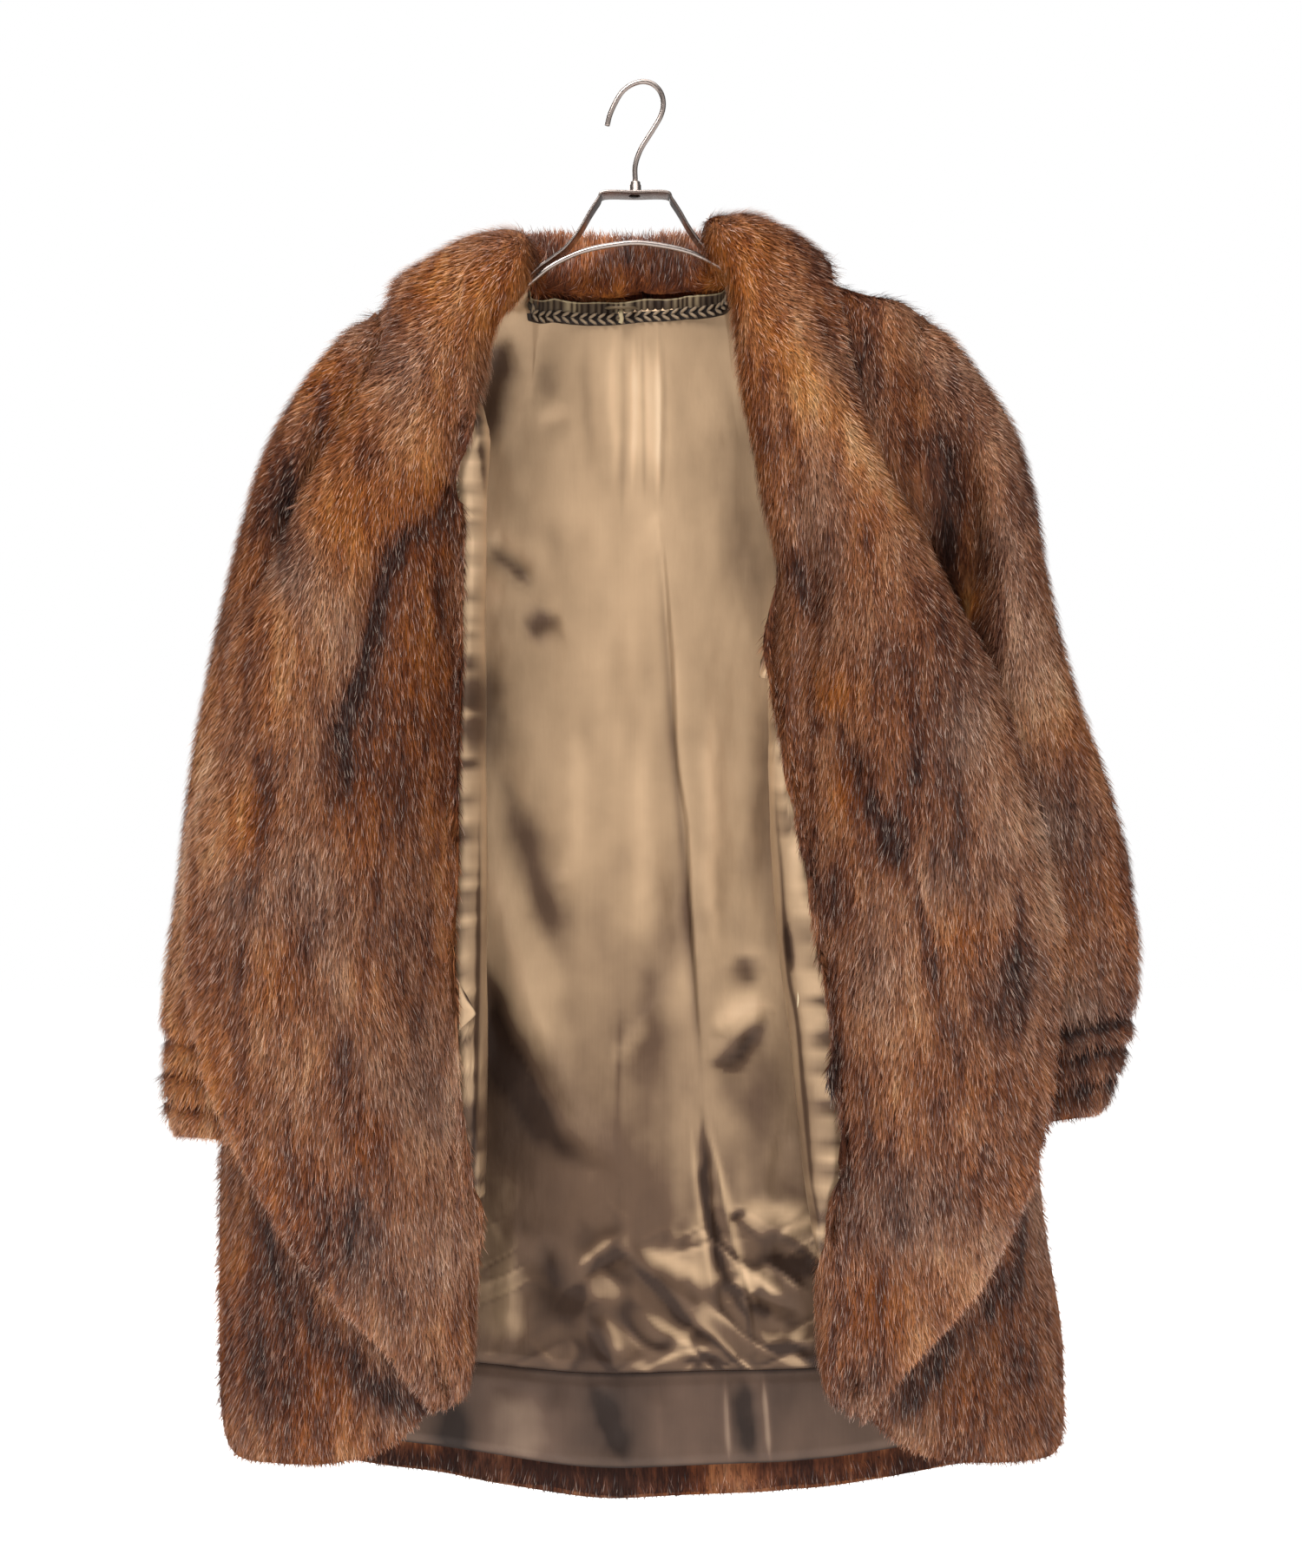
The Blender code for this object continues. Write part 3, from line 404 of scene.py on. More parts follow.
def grow_on(thing: bpy.types.Object, tree: bpy.types.NodeTree, values: dict) -> bpy.types.Object:
    """Run a Geometry Nodes tree on an object and keep what it makes as its plain mesh.

    Args:
        thing: Object whose mesh the tree starts from.
        tree: The tree.
        values: Value of each input by its name.

    Returns:
        The same object, with the result as its mesh and no modifier.
    """
    modifier = thing.modifiers.new("nodes", "NODES")
    modifier.node_group = tree
    for item in tree.interface.items_tree:
        if item.name in values:
            modifier[item.identifier] = values[item.name]
    return settle(thing)


def with_subdivision(thing: bpy.types.Object, levels: int) -> bpy.types.Object:
    """Round an object's mesh by that many levels of subdivision."""
    modifier = thing.modifiers.new("round", "SUBSURF")
    modifier.levels = modifier.render_levels = levels
    return settle(thing)


def rounded(cage: bpy.types.Object, levels: int, passes: int = 3, most: float = 9 * MM) -> bpy.types.Object:
    """Round a cage so that the smooth surface still passes through the cage's own points.

    Args:
        cage: Object with the coarse mesh.
        levels: Levels of subdivision of the result.
        passes: How often the cage is pushed out to meet its first points again.
        most: Farthest that a point of the cage is pushed, in metres.

    Returns:
        The same object with the rounded mesh.
    """
    target = positions(cage.data)
    pushed = target.copy()
    for _ in range(passes):
        probe = bpy.data.objects.new("probe", cage.data.copy())
        bpy.context.scene.collection.objects.link(probe)
        move_to(probe.data, pushed)
        reached = positions(with_subdivision(probe, 1).data)[: len(target)]
        spare = probe.data
        bpy.data.objects.remove(probe)
        bpy.data.meshes.remove(spare)
        shift = pushed + 0.8 * (target - reached) - target
        far = np.linalg.norm(shift, axis=1, keepdims=True)
        pushed = target + shift * np.minimum(1.0, most / np.maximum(far, 1e-9))
    move_to(cage.data, pushed)
    return with_subdivision(cage, levels)


def tree_of(*things: bpy.types.Object) -> BVHTree:
    """Search tree of some objects' faces, for rays and nearest points."""
    work = bmesh.new()
    for thing in things:
        work.from_mesh(thing.data)
    tree = BVHTree.FromBMesh(work)
    work.free()
    return tree


def triangles(thing: bpy.types.Object) -> int:
    """Number of triangles of an object's mesh."""
    counts = np.empty(len(thing.data.polygons), np.int32)
    thing.data.polygons.foreach_get("loop_total", counts)
    return int((counts - 2).sum())


def object_of(work: bmesh.types.BMesh, name: str) -> bpy.types.Object:
    """Make a smooth object from a bmesh, which is freed."""
    mesh = bpy.data.meshes.new(name)
    work.to_mesh(mesh)
    work.free()
    mesh.polygons.foreach_set("use_smooth", [True] * len(mesh.polygons))
    return in_scene(name, mesh)


# --- walls of cloth and fur -------------------------------------------------------------
RIM_ANGLE = math.radians(62)  # a wall's rim is at least this sharp
CUT_GAP = 0.9 * MM  # two solids cut from one wall are nearer than this


def wall_copy(frame: dict, names: Sequence[str]) -> bmesh.types.BMesh:
    """Copy one solid, or the solids cut from one wall, as one merged mesh.

    Args:
        frame: The loaded frame.
        names: Nodes of the wall's solids, two at most.

    Returns:
        The wall, joined again where it was cut.
    """
    work = bmesh.new()
    first = 0
    for name in names:
        part = bmesh.new()
        part.from_mesh(frame["nodes"][name].data)
        bmesh.ops.remove_doubles(part, verts=part.verts, dist=0.02 * MM)
        mesh = bpy.data.meshes.new(name)
        part.to_mesh(mesh)
        part.free()
        first = len(work.verts)
        work.from_mesh(mesh)
        bpy.data.meshes.remove(mesh)
    if first:
        points = list(work.verts)
        near = KDTree(len(points) - first)
        for k, vertex in enumerate(points[first:]):
            near.insert(vertex.co, k)
        near.balance()
        joined = {}
        for vertex in points[:first]:
            _, k, gap = near.find(vertex.co)
            if gap < CUT_GAP:
                joined[vertex] = points[first + k]
        met = set(joined) | set(joined.values())
        rims = [face for face in work.faces if all(vertex in met for vertex in face.verts)]
        bmesh.ops.delete(work, geom=rims, context="FACES_ONLY")
        bmesh.ops.weld_verts(work, targetmap=joined)
    return work


def wall_sides(work: bmesh.types.BMesh) -> list[list[bmesh.types.BMFace]]:
    """Split a wall at its rims.

    Args:
        work: The wall, as one closed mesh.

    Returns:
        Its smooth stretches of faces, the one with the most area first.
    """
    left = set(work.faces)
    parts = []
    while left:
        start = left.pop()
        part, open_faces = [start], [start]
        while open_faces:
            face = open_faces.pop()
            for edge in face.edges:
                if len(edge.link_faces) != 2 or edge.calc_face_angle(0.0) > RIM_ANGLE:
                    continue
                for other in edge.link_faces:
                    if other in left:
                        left.remove(other)
                        part.append(other)
                        open_faces.append(other)
        parts.append(part)
    return sorted(parts, key=lambda part: -sum(face.calc_area() for face in part))


def far_side(sides: list[list[bmesh.types.BMFace]], backing: BVHTree) -> list[bmesh.types.BMFace]:
    """Of a wall's two large sides, the one that lies farther from a backing surface."""
    gaps = []
    for part in sides[:2]:
        near = [backing.find_nearest(face.calc_center_median())[3] for face in part]
        gaps.append(float(np.mean([min(gap, 0.05) for gap in near])))
    return sides[0] if gaps[0] > gaps[1] else sides[1]


def join_quads(work: bmesh.types.BMesh) -> None:
    """Join the wall's triangles to the quads they were cut from."""
    bmesh.ops.join_triangles(
        work, faces=work.faces, angle_face_threshold=math.radians(70), angle_shape_threshold=math.radians(75)
    )


# --- fur finishes -----------------------------------------------------------------------
class FurPart(Enum):
    """Which layer of the pelt a material is for."""

    SKIN = "skin"
    UNDERFUR = "underfur"
    GUARD = "guard_hair"


@dataclass(frozen=True)
class MinkFur:
    """Dyed brown mink: dense matt underfur under long glossy guard hairs.

    The pelts are let out in strips 40 to 60 mm wide, so the colour runs in long soft
    streaks down the coat, from grey brown along each pelt's back to orange at its sides.
    """

    warm: tuple[str, ...] = ("#3A1A0D", "#6B3517", "#94511F", "#B36F35", "#D09A62")
    cool: tuple[str, ...] = ("#2E1C16", "#553B31", "#7C6052", "#9C8070", "#C4AC9A")
    # pale colour of the painted glints on the guard hairs' tips
    tip: str = "#EAD3C0"
    roughness: float = 0.40

    def colour(self, tree: bpy.types.NodeTree) -> bpy.types.NodeSocket:
        """Pelt colour from the place on the coat, the piece's own warmth and the painted light and shade of
        its light attribute.

        Args:
            tree: Node tree of the material.

        Returns:
            The colour's output socket.
        """
        place = add_node(tree, "ShaderNodeTexCoord").outputs["Object"]
        # light holds painted light and shade: shade in creases, hollows and under the flaps, light on ridges
        # and lumps; warmth is the pelts' own colour
        light, warmth = (
            add_node(tree, "ShaderNodeAttribute", attribute_name=label, attribute_type="GEOMETRY").outputs[
                "Fac"
            ]
            for label in ("light", "warmth")
        )
        patterns = []
        for scale, detail, distortion in (
            ((24.0, 18.0, 5.0), 2.5, 0.6),  # strips 42 mm wide and about 200 mm long
            ((13.0, 13.0, 6.5), 2.0, 0.4),  # pelts about 80 mm wide
            ((120.0, 110.0, 30.0), 3.0, 0.0),  # locks about 8 mm wide
            ((430.0, 400.0, 95.0), 2.0, 0.0),  # flecks about 2.4 mm wide
        ):
            spread = add_node(tree, "ShaderNodeMapping", {"Vector": place, "Scale": scale})
            values = {"Vector": spread, "Scale": 1.0, "Detail": detail, "Distortion": distortion}
            patterns.append(add_node(tree, "ShaderNodeTexNoise", values))
        strips, pelts, locks, flecks = patterns
        sums = []
        for total, terms in (
            (-0.54, ((locks, 0.80), (strips, 0.80), (light, 0.32), (flecks, 0.42))),
            (0.05, ((pelts, 1.2), (warmth, 0.46))),
        ):
            for value, share in terms:
                added = {0: value, 1: share, 2: total}
                total = add_node(tree, "ShaderNodeMath", added, operation="MULTIPLY_ADD")
            sums.append(total)
        level, turn = sums
        places = (0.10, 0.32, 0.52, 0.72, 0.95)
        warm, cool = (
            add_node(tree, "ShaderNodeValToRGB", {"Fac": level}, stops=list(zip(places, shades)))
            for shades in (self.warm, self.cool)
        )
        share = add_node(tree, "ShaderNodeClamp", {"Value": turn})
        return add_node(
            tree, "ShaderNodeMix", {"Factor": share, 6: cool, 7: warm}, data_type="RGBA",
        ).outputs[2]

    def material(self, part: FurPart) -> bpy.types.Material:
        """Material of one layer of the pelt.

        Args:
            part: Layer that the material is for.

        Returns:
            The material.
        """
        made, tree = new_material(f"mink_{part.value}")
        colour = self.colour(tree)
        if part is FurPart.SKIN:
            place = add_node(tree, "ShaderNodeTexCoord").outputs["Object"]
            # hairs 1.2 mm wide and 14 mm long between the modelled ones, with painted shade in the gaps
            # between them
            drawn = add_node(tree, "ShaderNodeMapping", {"Vector": place, "Scale": (820.0, 700.0, 70.0)})
            hairs = add_node(
                tree, "ShaderNodeTexNoise", {"Vector": drawn, "Scale": 1.0, "Detail": 2.0}
            ).outputs["Fac"]
            depth = add_node(
                tree, "ShaderNodeMapRange", {
                    "Value": hairs, "From Min": 0.3, "From Max": 0.7, "To Min": 0.45, "To Max": 0.95,
                }
            )
            shaded = add_node(
                tree, "ShaderNodeVectorMath", {0: colour, "Scale": depth}, operation="SCALE"
            )
            bump = add_node(tree, "ShaderNodeBump", {"Height": hairs, "Strength": 0.6, "Distance": 0.001})
            shader = add_node(
                tree,
                "ShaderNodeBsdfPrincipled",
                {
                    "Base Color": shaded,
                    "Normal": bump,
                    "Roughness": 0.8,
                    "Specular IOR Level": 0.15,
                },
            )
            finish_with(tree, shader)
            return made
        along = add_node(tree, "ShaderNodeAttribute", attribute_name="along", attribute_type="GEOMETRY")
        tint = add_node(tree, "ShaderNodeAttribute", attribute_name="tint", attribute_type="GEOMETRY")
        # darker towards the root: painted shade deep in the fur
        root = add_node(
            tree,
            "ShaderNodeMapRange",
            {"Value": along.outputs["Fac"], "From Min": 0.0, "From Max": 0.7, "To Min": 0.38, "To Max": 1.14},
        )
        own = add_node(
            tree, "ShaderNodeMapRange", {"Value": tint.outputs["Fac"], "To Min": 0.62, "To Max": 1.36},
        )
        level = add_node(
            tree, "ShaderNodeMath", {0: root, 1: own}, operation="MULTIPLY",
        )
        final = add_node(
            tree, "ShaderNodeVectorMath", {0: colour, "Scale": level}, operation="SCALE"
        ).outputs[0]
        if part is FurPart.GUARD:
            # pale tips paint a glint, a painted highlight, on one guard hair in three; the others stay close
            # to the underfur
            bright = add_node(
                tree,
                "ShaderNodeMapRange",
                {"Value": tint.outputs["Fac"], "From Min": 0.64, "From Max": 0.76, "To Min": 0.06,
                    "To Max": 0.74},
            )
            pale = add_node(
                tree,
                "ShaderNodeMapRange",
                {"Value": along.outputs["Fac"], "From Min": 0.45, "From Max": 1.0, "To Max": bright.outputs[
                    0
                ]},
            )
            toned = {"Factor": pale, 6: final, 7: linear(self.tip)}
            final = add_node(tree, "ShaderNodeMix", toned, data_type="RGBA").outputs[2]
        guard = part is FurPart.GUARD
        shader = add_node(
            tree,
            "ShaderNodeBsdfPrincipled",
            {
                "Base Color": final,
                "Roughness": self.roughness if guard else self.roughness + 0.2,
                "IOR": 1.55,
                "Specular IOR Level": 0.4 if guard else 0.12,
            },
        )
        finish_with(tree, shader)
        return made


# --- fur --------------------------------------------------------------------------------
class Lie(Enum):
    """How the hair of a piece is combed."""

    HANGING = "straight down, spreading towards the sides"
    SHAWL = "down the flap and across the collar"
    SLEEVE = "down the arm"


@dataclass(frozen=True)
class Patch:
    """A place where the pelts are lighter or darker, as painted light and shade, and warmer or greyer, as
    their own colour, than the rest.

    Attributes:
        x: Middle of the patch, in mm.
        z: Height of its middle, in mm.
        wide: Half of its width, in mm.
        tall: Half of its height, in mm.
        light: Painted light and shade, 1 is light, -1 is dark.
        warm: 1 is orange, -1 is grey.
        lean: How far it leans to the right as it goes down, mm in mm.
    """

    x: float
    z: float
    wide: float
    tall: float
    light: float
    warm: float
    lean: float = 0.0

    def weight(self, places: np.ndarray) -> np.ndarray:
        """Share of the patch at each place, from positions in metres."""
        drop = places[:, 2] / MM - self.z
        side = places[:, 0] / MM - self.x + drop * self.lean
        return np.exp(-((side / self.wide) ** 2) - (drop / self.tall) ** 2)


PATCHES = (
    # x, z, wide, tall, light, warm, lean: the viewer's left
    Patch(-112, -170, 45, 38, 0.5, 0.9),
    Patch(-84, -200, 12, 32, -0.6, 0.1),
    Patch(-176, -232, 20, 32, -0.1, -0.9),
    Patch(-140, -245, 22, 36, 0.0, 0.3),
    Patch(-147, -331, 20, 60, -0.65, 0.8, -0.1),
    Patch(-210, -337, 30, 50, 0.4, 0.6),
    Patch(-240, -380, 22, 34, -0.1, -0.4),
    Patch(-167, -436, 27, 75, 0.0, 1.0),
    Patch(-192, -553, 30, 68, -0.1, 0.8),
    Patch(-254, -460, 30, 55, 0.2, 0.2),
    Patch(-272, -541, 15, 22, 0.4, 0.9),
    Patch(-288, -602, 22, 26, -0.2, -0.8),
    Patch(-254, -652, 25, 36, -0.1, 0.8),
    Patch(-186, -670, 25, 40, -0.1, 0.6),
    Patch(-222, -590, 24, 50, 0.15, -0.3),
    Patch(-167, -726, 28, 44, -0.1, -0.7),
    Patch(-248, -720, 30, 38, 0.2, -0.5),
    Patch(-192, -772, 16, 20, -0.1, 1.0),
    Patch(-229, -812, 25, 30, -0.2, 0.3),
    Patch(-146, -813, 22, 68, 0.5, -0.4),
    Patch(-198, -850, 30, 38, 0.05, -0.5),
    Patch(-142, -918, 22, 38, 0.0, 0.5),
    Patch(-229, -231, 25, 30, 0.1, 0.8),
    Patch(-254, -324, 13, 18, -0.4, -0.6),
    Patch(-266, -287, 15, 30, 0.0, 0.4),
    Patch(-278, -361, 20, 34, 0.5, 0.3),
    Patch(-303, -460, 20, 52, 0.35, 0.2),
    Patch(-325, -590, 18, 40, 0.35, -0.4),
    Patch(-325, -683, 24, 32, -0.3, -0.1),
    Patch(-282, -893, 25, 30, 0.0, 0.5),
    Patch(-193, -983, 20, 20, 0.2, -0.8),
    Patch(0, -137, 66, 20, -0.75, 0.5),
    Patch(-250, -960, 70, 60, -0.55, 0.5),
    # the viewer's right
    Patch(68, -138, 26, 28, 0.4, 0.9),
    Patch(250, -980, 60, 60, -0.40, 0.1),
    Patch(111, -225, 15, 60, 0.5, 0.8, 0.55),
    Patch(80, -262, 15, 48, -0.3, 0.5),
    Patch(154, -170, 25, 25, 0.3, 0.6),
    Patch(160, -213, 22, 25, -0.3, 0.2),
    Patch(129, -337, 18, 42, -0.1, -0.5),
    Patch(179, -386, 15, 55, 0.35, 0.3, 0.45),
    Patch(123, -398, 21, 36, -0.25, 0.0),
    Patch(139, -454, 18, 18, 0.0, 1.0),
    Patch(191, -460, 21, 36, 0.1, 0.5),
    Patch(216, -491, 21, 42, 0.1, -0.6),
    Patch(151, -522, 15, 21, -0.1, 0.9),
    Patch(173, -559, 15, 18, -0.35, 0.3),
    Patch(216, -584, 27, 25, -0.15, -0.6),
    Patch(142, -590, 18, 30, 0.0, 0.4),
    Patch(235, -627, 25, 18, 0.25, 0.8),
    Patch(256, -658, 21, 21, -0.05, -0.4),
    Patch(167, -658, 21, 36, 0.0, -0.6),
    Patch(241, -732, 30, 24, -0.1, 0.6),
    Patch(198, -726, 18, 36, -0.1, 0.3),
    Patch(167, -763, 18, 24, 0.1, 0.3),
    Patch(179, -831, 28, 30, -0.2, -0.6),
    Patch(167, -899, 18, 30, -0.1, 1.0),
    Patch(142, -948, 18, 24, 0.0, 0.5),
    Patch(228, -812, 30, 36, -0.35, -0.2),
    Patch(228, -219, 25, 25, 0.3, -0.6),
    Patch(197, -250, 15, 36, -0.2, 0.7),
    Patch(222, -337, 9, 32, -0.7, -0.6, 0.1),
    Patch(238, -392, 8, 12, 0.5, 1.0),
    Patch(259, -349, 18, 24, 0.0, -0.5),
    Patch(272, -398, 20, 38, 0.45, 0.0),
    Patch(296, -479, 24, 42, 0.4, 0.2),
    Patch(309, -553, 26, 24, -0.1, -0.6),
    Patch(326, -630, 24, 44, 0.5, -0.7),
    Patch(340, -615, 15, 30, 0.2, 0.5),
    Patch(299, -639, 18, 24, 0.15, 0.4),
    Patch(318, -690, 20, 30, 0.35, -0.9),
    Patch(284, -560, 16, 34, 0.35, -0.4),
    Patch(236, -970, 20, 26, 0.2, 0.9),
    Patch(204, -964, 12, 22, -0.6, 0.3),
    Patch(288, -875, 16, 45, -0.1, -0.3),
)

# Creases and ridges of the fur: path (x, z), height, width on its left and right as it runs down.
FUR_FOLDS = strokes(
    (((-118, -293), (-146, -323), (-173, -352), (-186, -380), (-193, -405), (-197, -442)), -6.0, 8, 13),
    (((-197, -442), (-209, -469), (-212, -491), (-209, -521), (-220, -534), (-230, -544)), -5.0, 8, 12),
    (((-96, -205), (-128, -262), (-168, -318), (-205, -352)), 2.5, 18, 18),
    (((108, -470), (138, -481), (152, -512), (164, -538), (178, -562), (193, -596), (199, -608)), -5.5, 12,
     9),
    (((199, -608), (202, -650), (213, -686), (220, -719), (224, -740)), -4.5, 11, 9),
    (((102, -337), (112, -371), (123, -398), (145, -411)), -3.0, 14, 14),
    (((120, -247), (134, -281), (151, -312)), -2.0, 9, 9),
    (((82, -138), (94, -163), (114, -201), (135, -230), (160, -287), (179, -349)), 3.0, 12, 14),
    (((126, -165), (128, -180), (136, -210), (150, -250)), -4.0, 7, 7),
    (((213, -247), (221, -299), (228, -361)), -5.0, 7, 9),
    (((240, -245), (248, -300), (255, -360)), 3.0, 12, 14),
    (((-219, -209), (-228, -235), (-232, -262), (-236, -288)), -3.5, 6, 8),
    (((-255, -278), (-256, -290), (-257, -310), (-250, -350)), -4.0, 7, 8),
    (((-262, -400), (-285, -470), (-300, -560)), -3.0, 14, 14),
    (((285, -470), (305, -540), (312, -600), (300, -660)), -3.0, 15, 15),
    (((-240, -590), (-232, -640), (-240, -700)), -2.0, 16, 16),
    (((-190, -620), (-180, -690), (-186, -760)), 2.5, 18, 18),
    (((-150, -540), (-158, -640), (-152, -740)), -2.0, 12, 14),
    (((-230, -780), (-200, -850), (-165, -910)), -2.5, 14, 14),
    (((150, -640), (165, -720), (190, -800)), 2.5, 18, 18),
    (((210, -780), (190, -850), (165, -910)), -2.5, 14, 14),
    (((-290, -850), (-280, -920), (-285, -1000)), -2.5, 15, 15),
    (((282, -850), (275, -920), (280, -1000)), -2.5, 15, 15),
)
# painted shade at the bottom of the deep creases and under the flaps' edges: path (x, z), tone, width on its
# left and right
FUR_SHADES = strokes(
    (
        (
            (-108, -280), (-130, -306), (-150, -328), (-172, -352), (-185, -380), (-192, -405), (-197, -438),
            (-206, -462), (-211, -491), (-209, -516), (-220, -534), (-236, -551), (-246, -566),
        ),
        -2.0, 3.2, 4.5,
    ),
    (
        (
            (100, -462), (124, -475), (142, -490), (153, -514), (165, -540), (179, -564), (194, -598), (
                202, -640,
            ),
            (212, -682), (221, -722), (228, -760),
        ),
        -1.5, 4, 3,
    ),
    (((126, -165), (128, -180), (136, -210), (150, -250), (168, -300)), -1.1, 4, 5),
    (((213, -247), (221, -299), (228, -361), (236, -400)), -1.3, 5, 6),
    (((-219, -209), (-228, -235), (-232, -262), (-236, -288)), -0.9, 4, 5),
    (((-255, -278), (-257, -310), (-251, -350), (-246, -400)), -1.1, 5, 6),
    (((104, -340), (114, -372), (125, -398), (143, -411)), -0.9, 7, 7),
    (((-92, -190), (-104, -220), (-112, -250)), -0.8, 6, 6),
    (((-250, -470), (-262, -530), (-268, -590)), -0.6, 8, 8),
    (((262, -600), (268, -660), (258, -720)), -0.6, 8, 8),
    (((-224, -640), (-214, -700), (-206, -760), (-190, -820)), -0.5, 9, 9),
    (((-300, -790), (-286, -850), (-230, -934), (-160, -993), (-120, -1010)), -1.2, 12, 9),
    (((296, -820), (268, -890), (222, -945), (172, -1003), (150, -1020)), -1.2, 9, 12),
    (((160, -700), (176, -760), (180, -840), (168, -900)), -0.5, 9, 9),
)
CUFF_RIDGES = ((-718, -742, -764), (-705, -725, -748))  # heights of the pressed lines, left and right


@dataclass
class Pelt:
    """One sewn piece of fur: its rounded skin and the hair that stands on it.

    Attributes:
        name: What the piece is called.
        nodes: Solids that the piece replaces.
        lie: How its hair is combed.
        flat: Width and length of its cut, in metres; not used.
        area: Flat area of its cut, in square metres; not used.
        rests_on: What carries the piece; not used.
        backing: Solids that lie against its leather, none for a sleeve.
        density: Share of the full number of hairs.
        marked: Whether the coat's patches of painted light and shade and of warmer or greyer colour, and its
            creases, show on it.
    """

    name: str
    nodes: tuple[str, ...]
    lie: Lie
    flat: tuple[float, float]
    area: float
    rests_on: tuple[str, ...]
    backing: tuple[str, ...]
    density: float
    marked: bool = True
    pieces: list[bpy.types.Object] = field(default_factory=list)

    SINK = 3.4 * MM  # the skin lies this far under the tips of the hair
    LEATHER = 2.6 * MM  # and its leather this far inside the solid, clear of the lining
    LUMP = 2.4 * MM  # unevenness of the pelts
    FAN = 0.6  # how far the hair spreads towards the piece's sides

    @property
    def side(self) -> float:
        """-1 for a piece of the left half, 1 for the right half, 0 for the back."""
        return -1.0 if self.name.endswith("left") else 1.0 if self.name.endswith("right") else 0.0

    def cage(self, frame: dict) -> bpy.types.Object:
        """Copy the solid as quads and tell its fur side from its leather side.

        Args:
            frame: The loaded frame.

        Returns:
            An object whose attribute "cover" is 1 on the fur side and 0 on the leather,
            and whose "thick" is the wall's thickness.
        """
        work = wall_copy(frame, self.nodes)
        sides = wall_sides(work)
        outer = sides[0]
        if self.backing:
            outer = far_side(sides, tree_of(*(frame["nodes"][node] for node in self.backing)))
        cover = work.verts.layers.float.new("cover")
        thick = work.verts.layers.float.new("thick")
        for face in outer:
            for vertex in face.verts:
                vertex[cover] = 1.0
        work.normal_update()
        tree = BVHTree.FromBMesh(work)
        for vertex in work.verts:
            through = tree.ray_cast(vertex.co - vertex.normal * 0.2 * MM, -vertex.normal, 0.03)[3]
            vertex[thick] = min(through or 12 * MM, 12 * MM)
        join_quads(work)
        return object_of(work, f"{self.name}_fur")

    def exposure(self, thing: bpy.types.Object, others: BVHTree) -> None:
        """Store how open to view each point is, so hidden fur gets few hairs.

        Args:
            thing: The piece's cage.
            others: Search tree of all that may hide it.
        """
        mesh = thing.data
        places, facing = positions(mesh), normals(mesh)
        golden = math.pi * (3 - math.sqrt(5))
        rays = []
        for k in range(18):
            up = 0.12 + 0.86 * (k + 0.5) / 18
            ring = math.sqrt(1 - up * up)
            rays.append((ring * math.cos(k * golden), ring * math.sin(k * golden), up))
        seen = np.zeros(len(places))
        for i, (place, normal) in enumerate(zip(places, facing)):
            n = Vector(normal)
            across = n.orthogonal().normalized()
            other = n.cross(across)
            start = Vector(place) + n * 2.5 * MM
            free = 0
            for a, b, c in rays:
                if others.ray_cast(start, across * a + other * b + n * c, 0.35)[0] is None:
                    free += 1
            seen[i] = free / len(rays)
        store(mesh, "open", seen)

    def comb(self, places: np.ndarray, facing: np.ndarray) -> np.ndarray:
        """Direction that the hair lies in at each point of the skin.

        Args:
            places: Points of the skin.
            facing: Their normals.

        Returns:
            A unit vector along the skin for each point.
        """
        level = np.linspace(places[:, 2].min(), places[:, 2].max(), 40)
        low, high = np.empty(40), np.empty(40)
        for k, z in enumerate(level):
            near = np.abs(places[:, 2] - z) < 0.02
            low[k], high[k] = places[near, 0].min(), places[near, 0].max()
        low, high = np.interp(places[:, 2], level, low), np.interp(places[:, 2], level, high)
        across = (2 * places[:, 0] - low - high) / np.maximum(high - low, 0.02)
        way = np.zeros_like(places)
        way[:, 0] = self.FAN * across * np.abs(across)
        way[:, 2] = -1.0
        if self.lie is Lie.SHAWL:
            outward = np.clip(across * self.side, -0.4, 1)
            way[:, 0] = self.side * (0.10 + 0.65 * outward * np.abs(outward))
            top = smoothstep(-0.42, -0.16, places[:, 2])
            way[:, 0] += self.side * 0.6 * top
            way[:, 1] += 0.35 * top
            neck = smoothstep(-0.20, -0.15, places[:, 2]) * smoothstep(0.0, 0.03, places[:, 1])
            fall = smoothstep(0.052, 0.066, places[:, 1])
            back = np.stack([0.2 * self.side + 0 * fall, 0.8 + 0 * fall, 1 - 2.2 * fall], axis=1)
            way += (back - way) * neck[:, None]
        elif self.lie is Lie.SLEEVE:
            shoulder = smoothstep(-0.36, -0.22, places[:, 2])
            way[:, 0] += self.side * (0.15 + 0.8 * shoulder)
        for axis in range(3):
            way[:, axis] += 0.20 * value_noise(places, (0.034, 0.034, 0.06), SEED + axis)
            way[:, axis] += 0.10 * value_noise(places, (0.011, 0.011, 0.02), SEED + 5 + axis)
        way -= facing * (way * facing).sum(axis=1, keepdims=True)
        return unit(way)

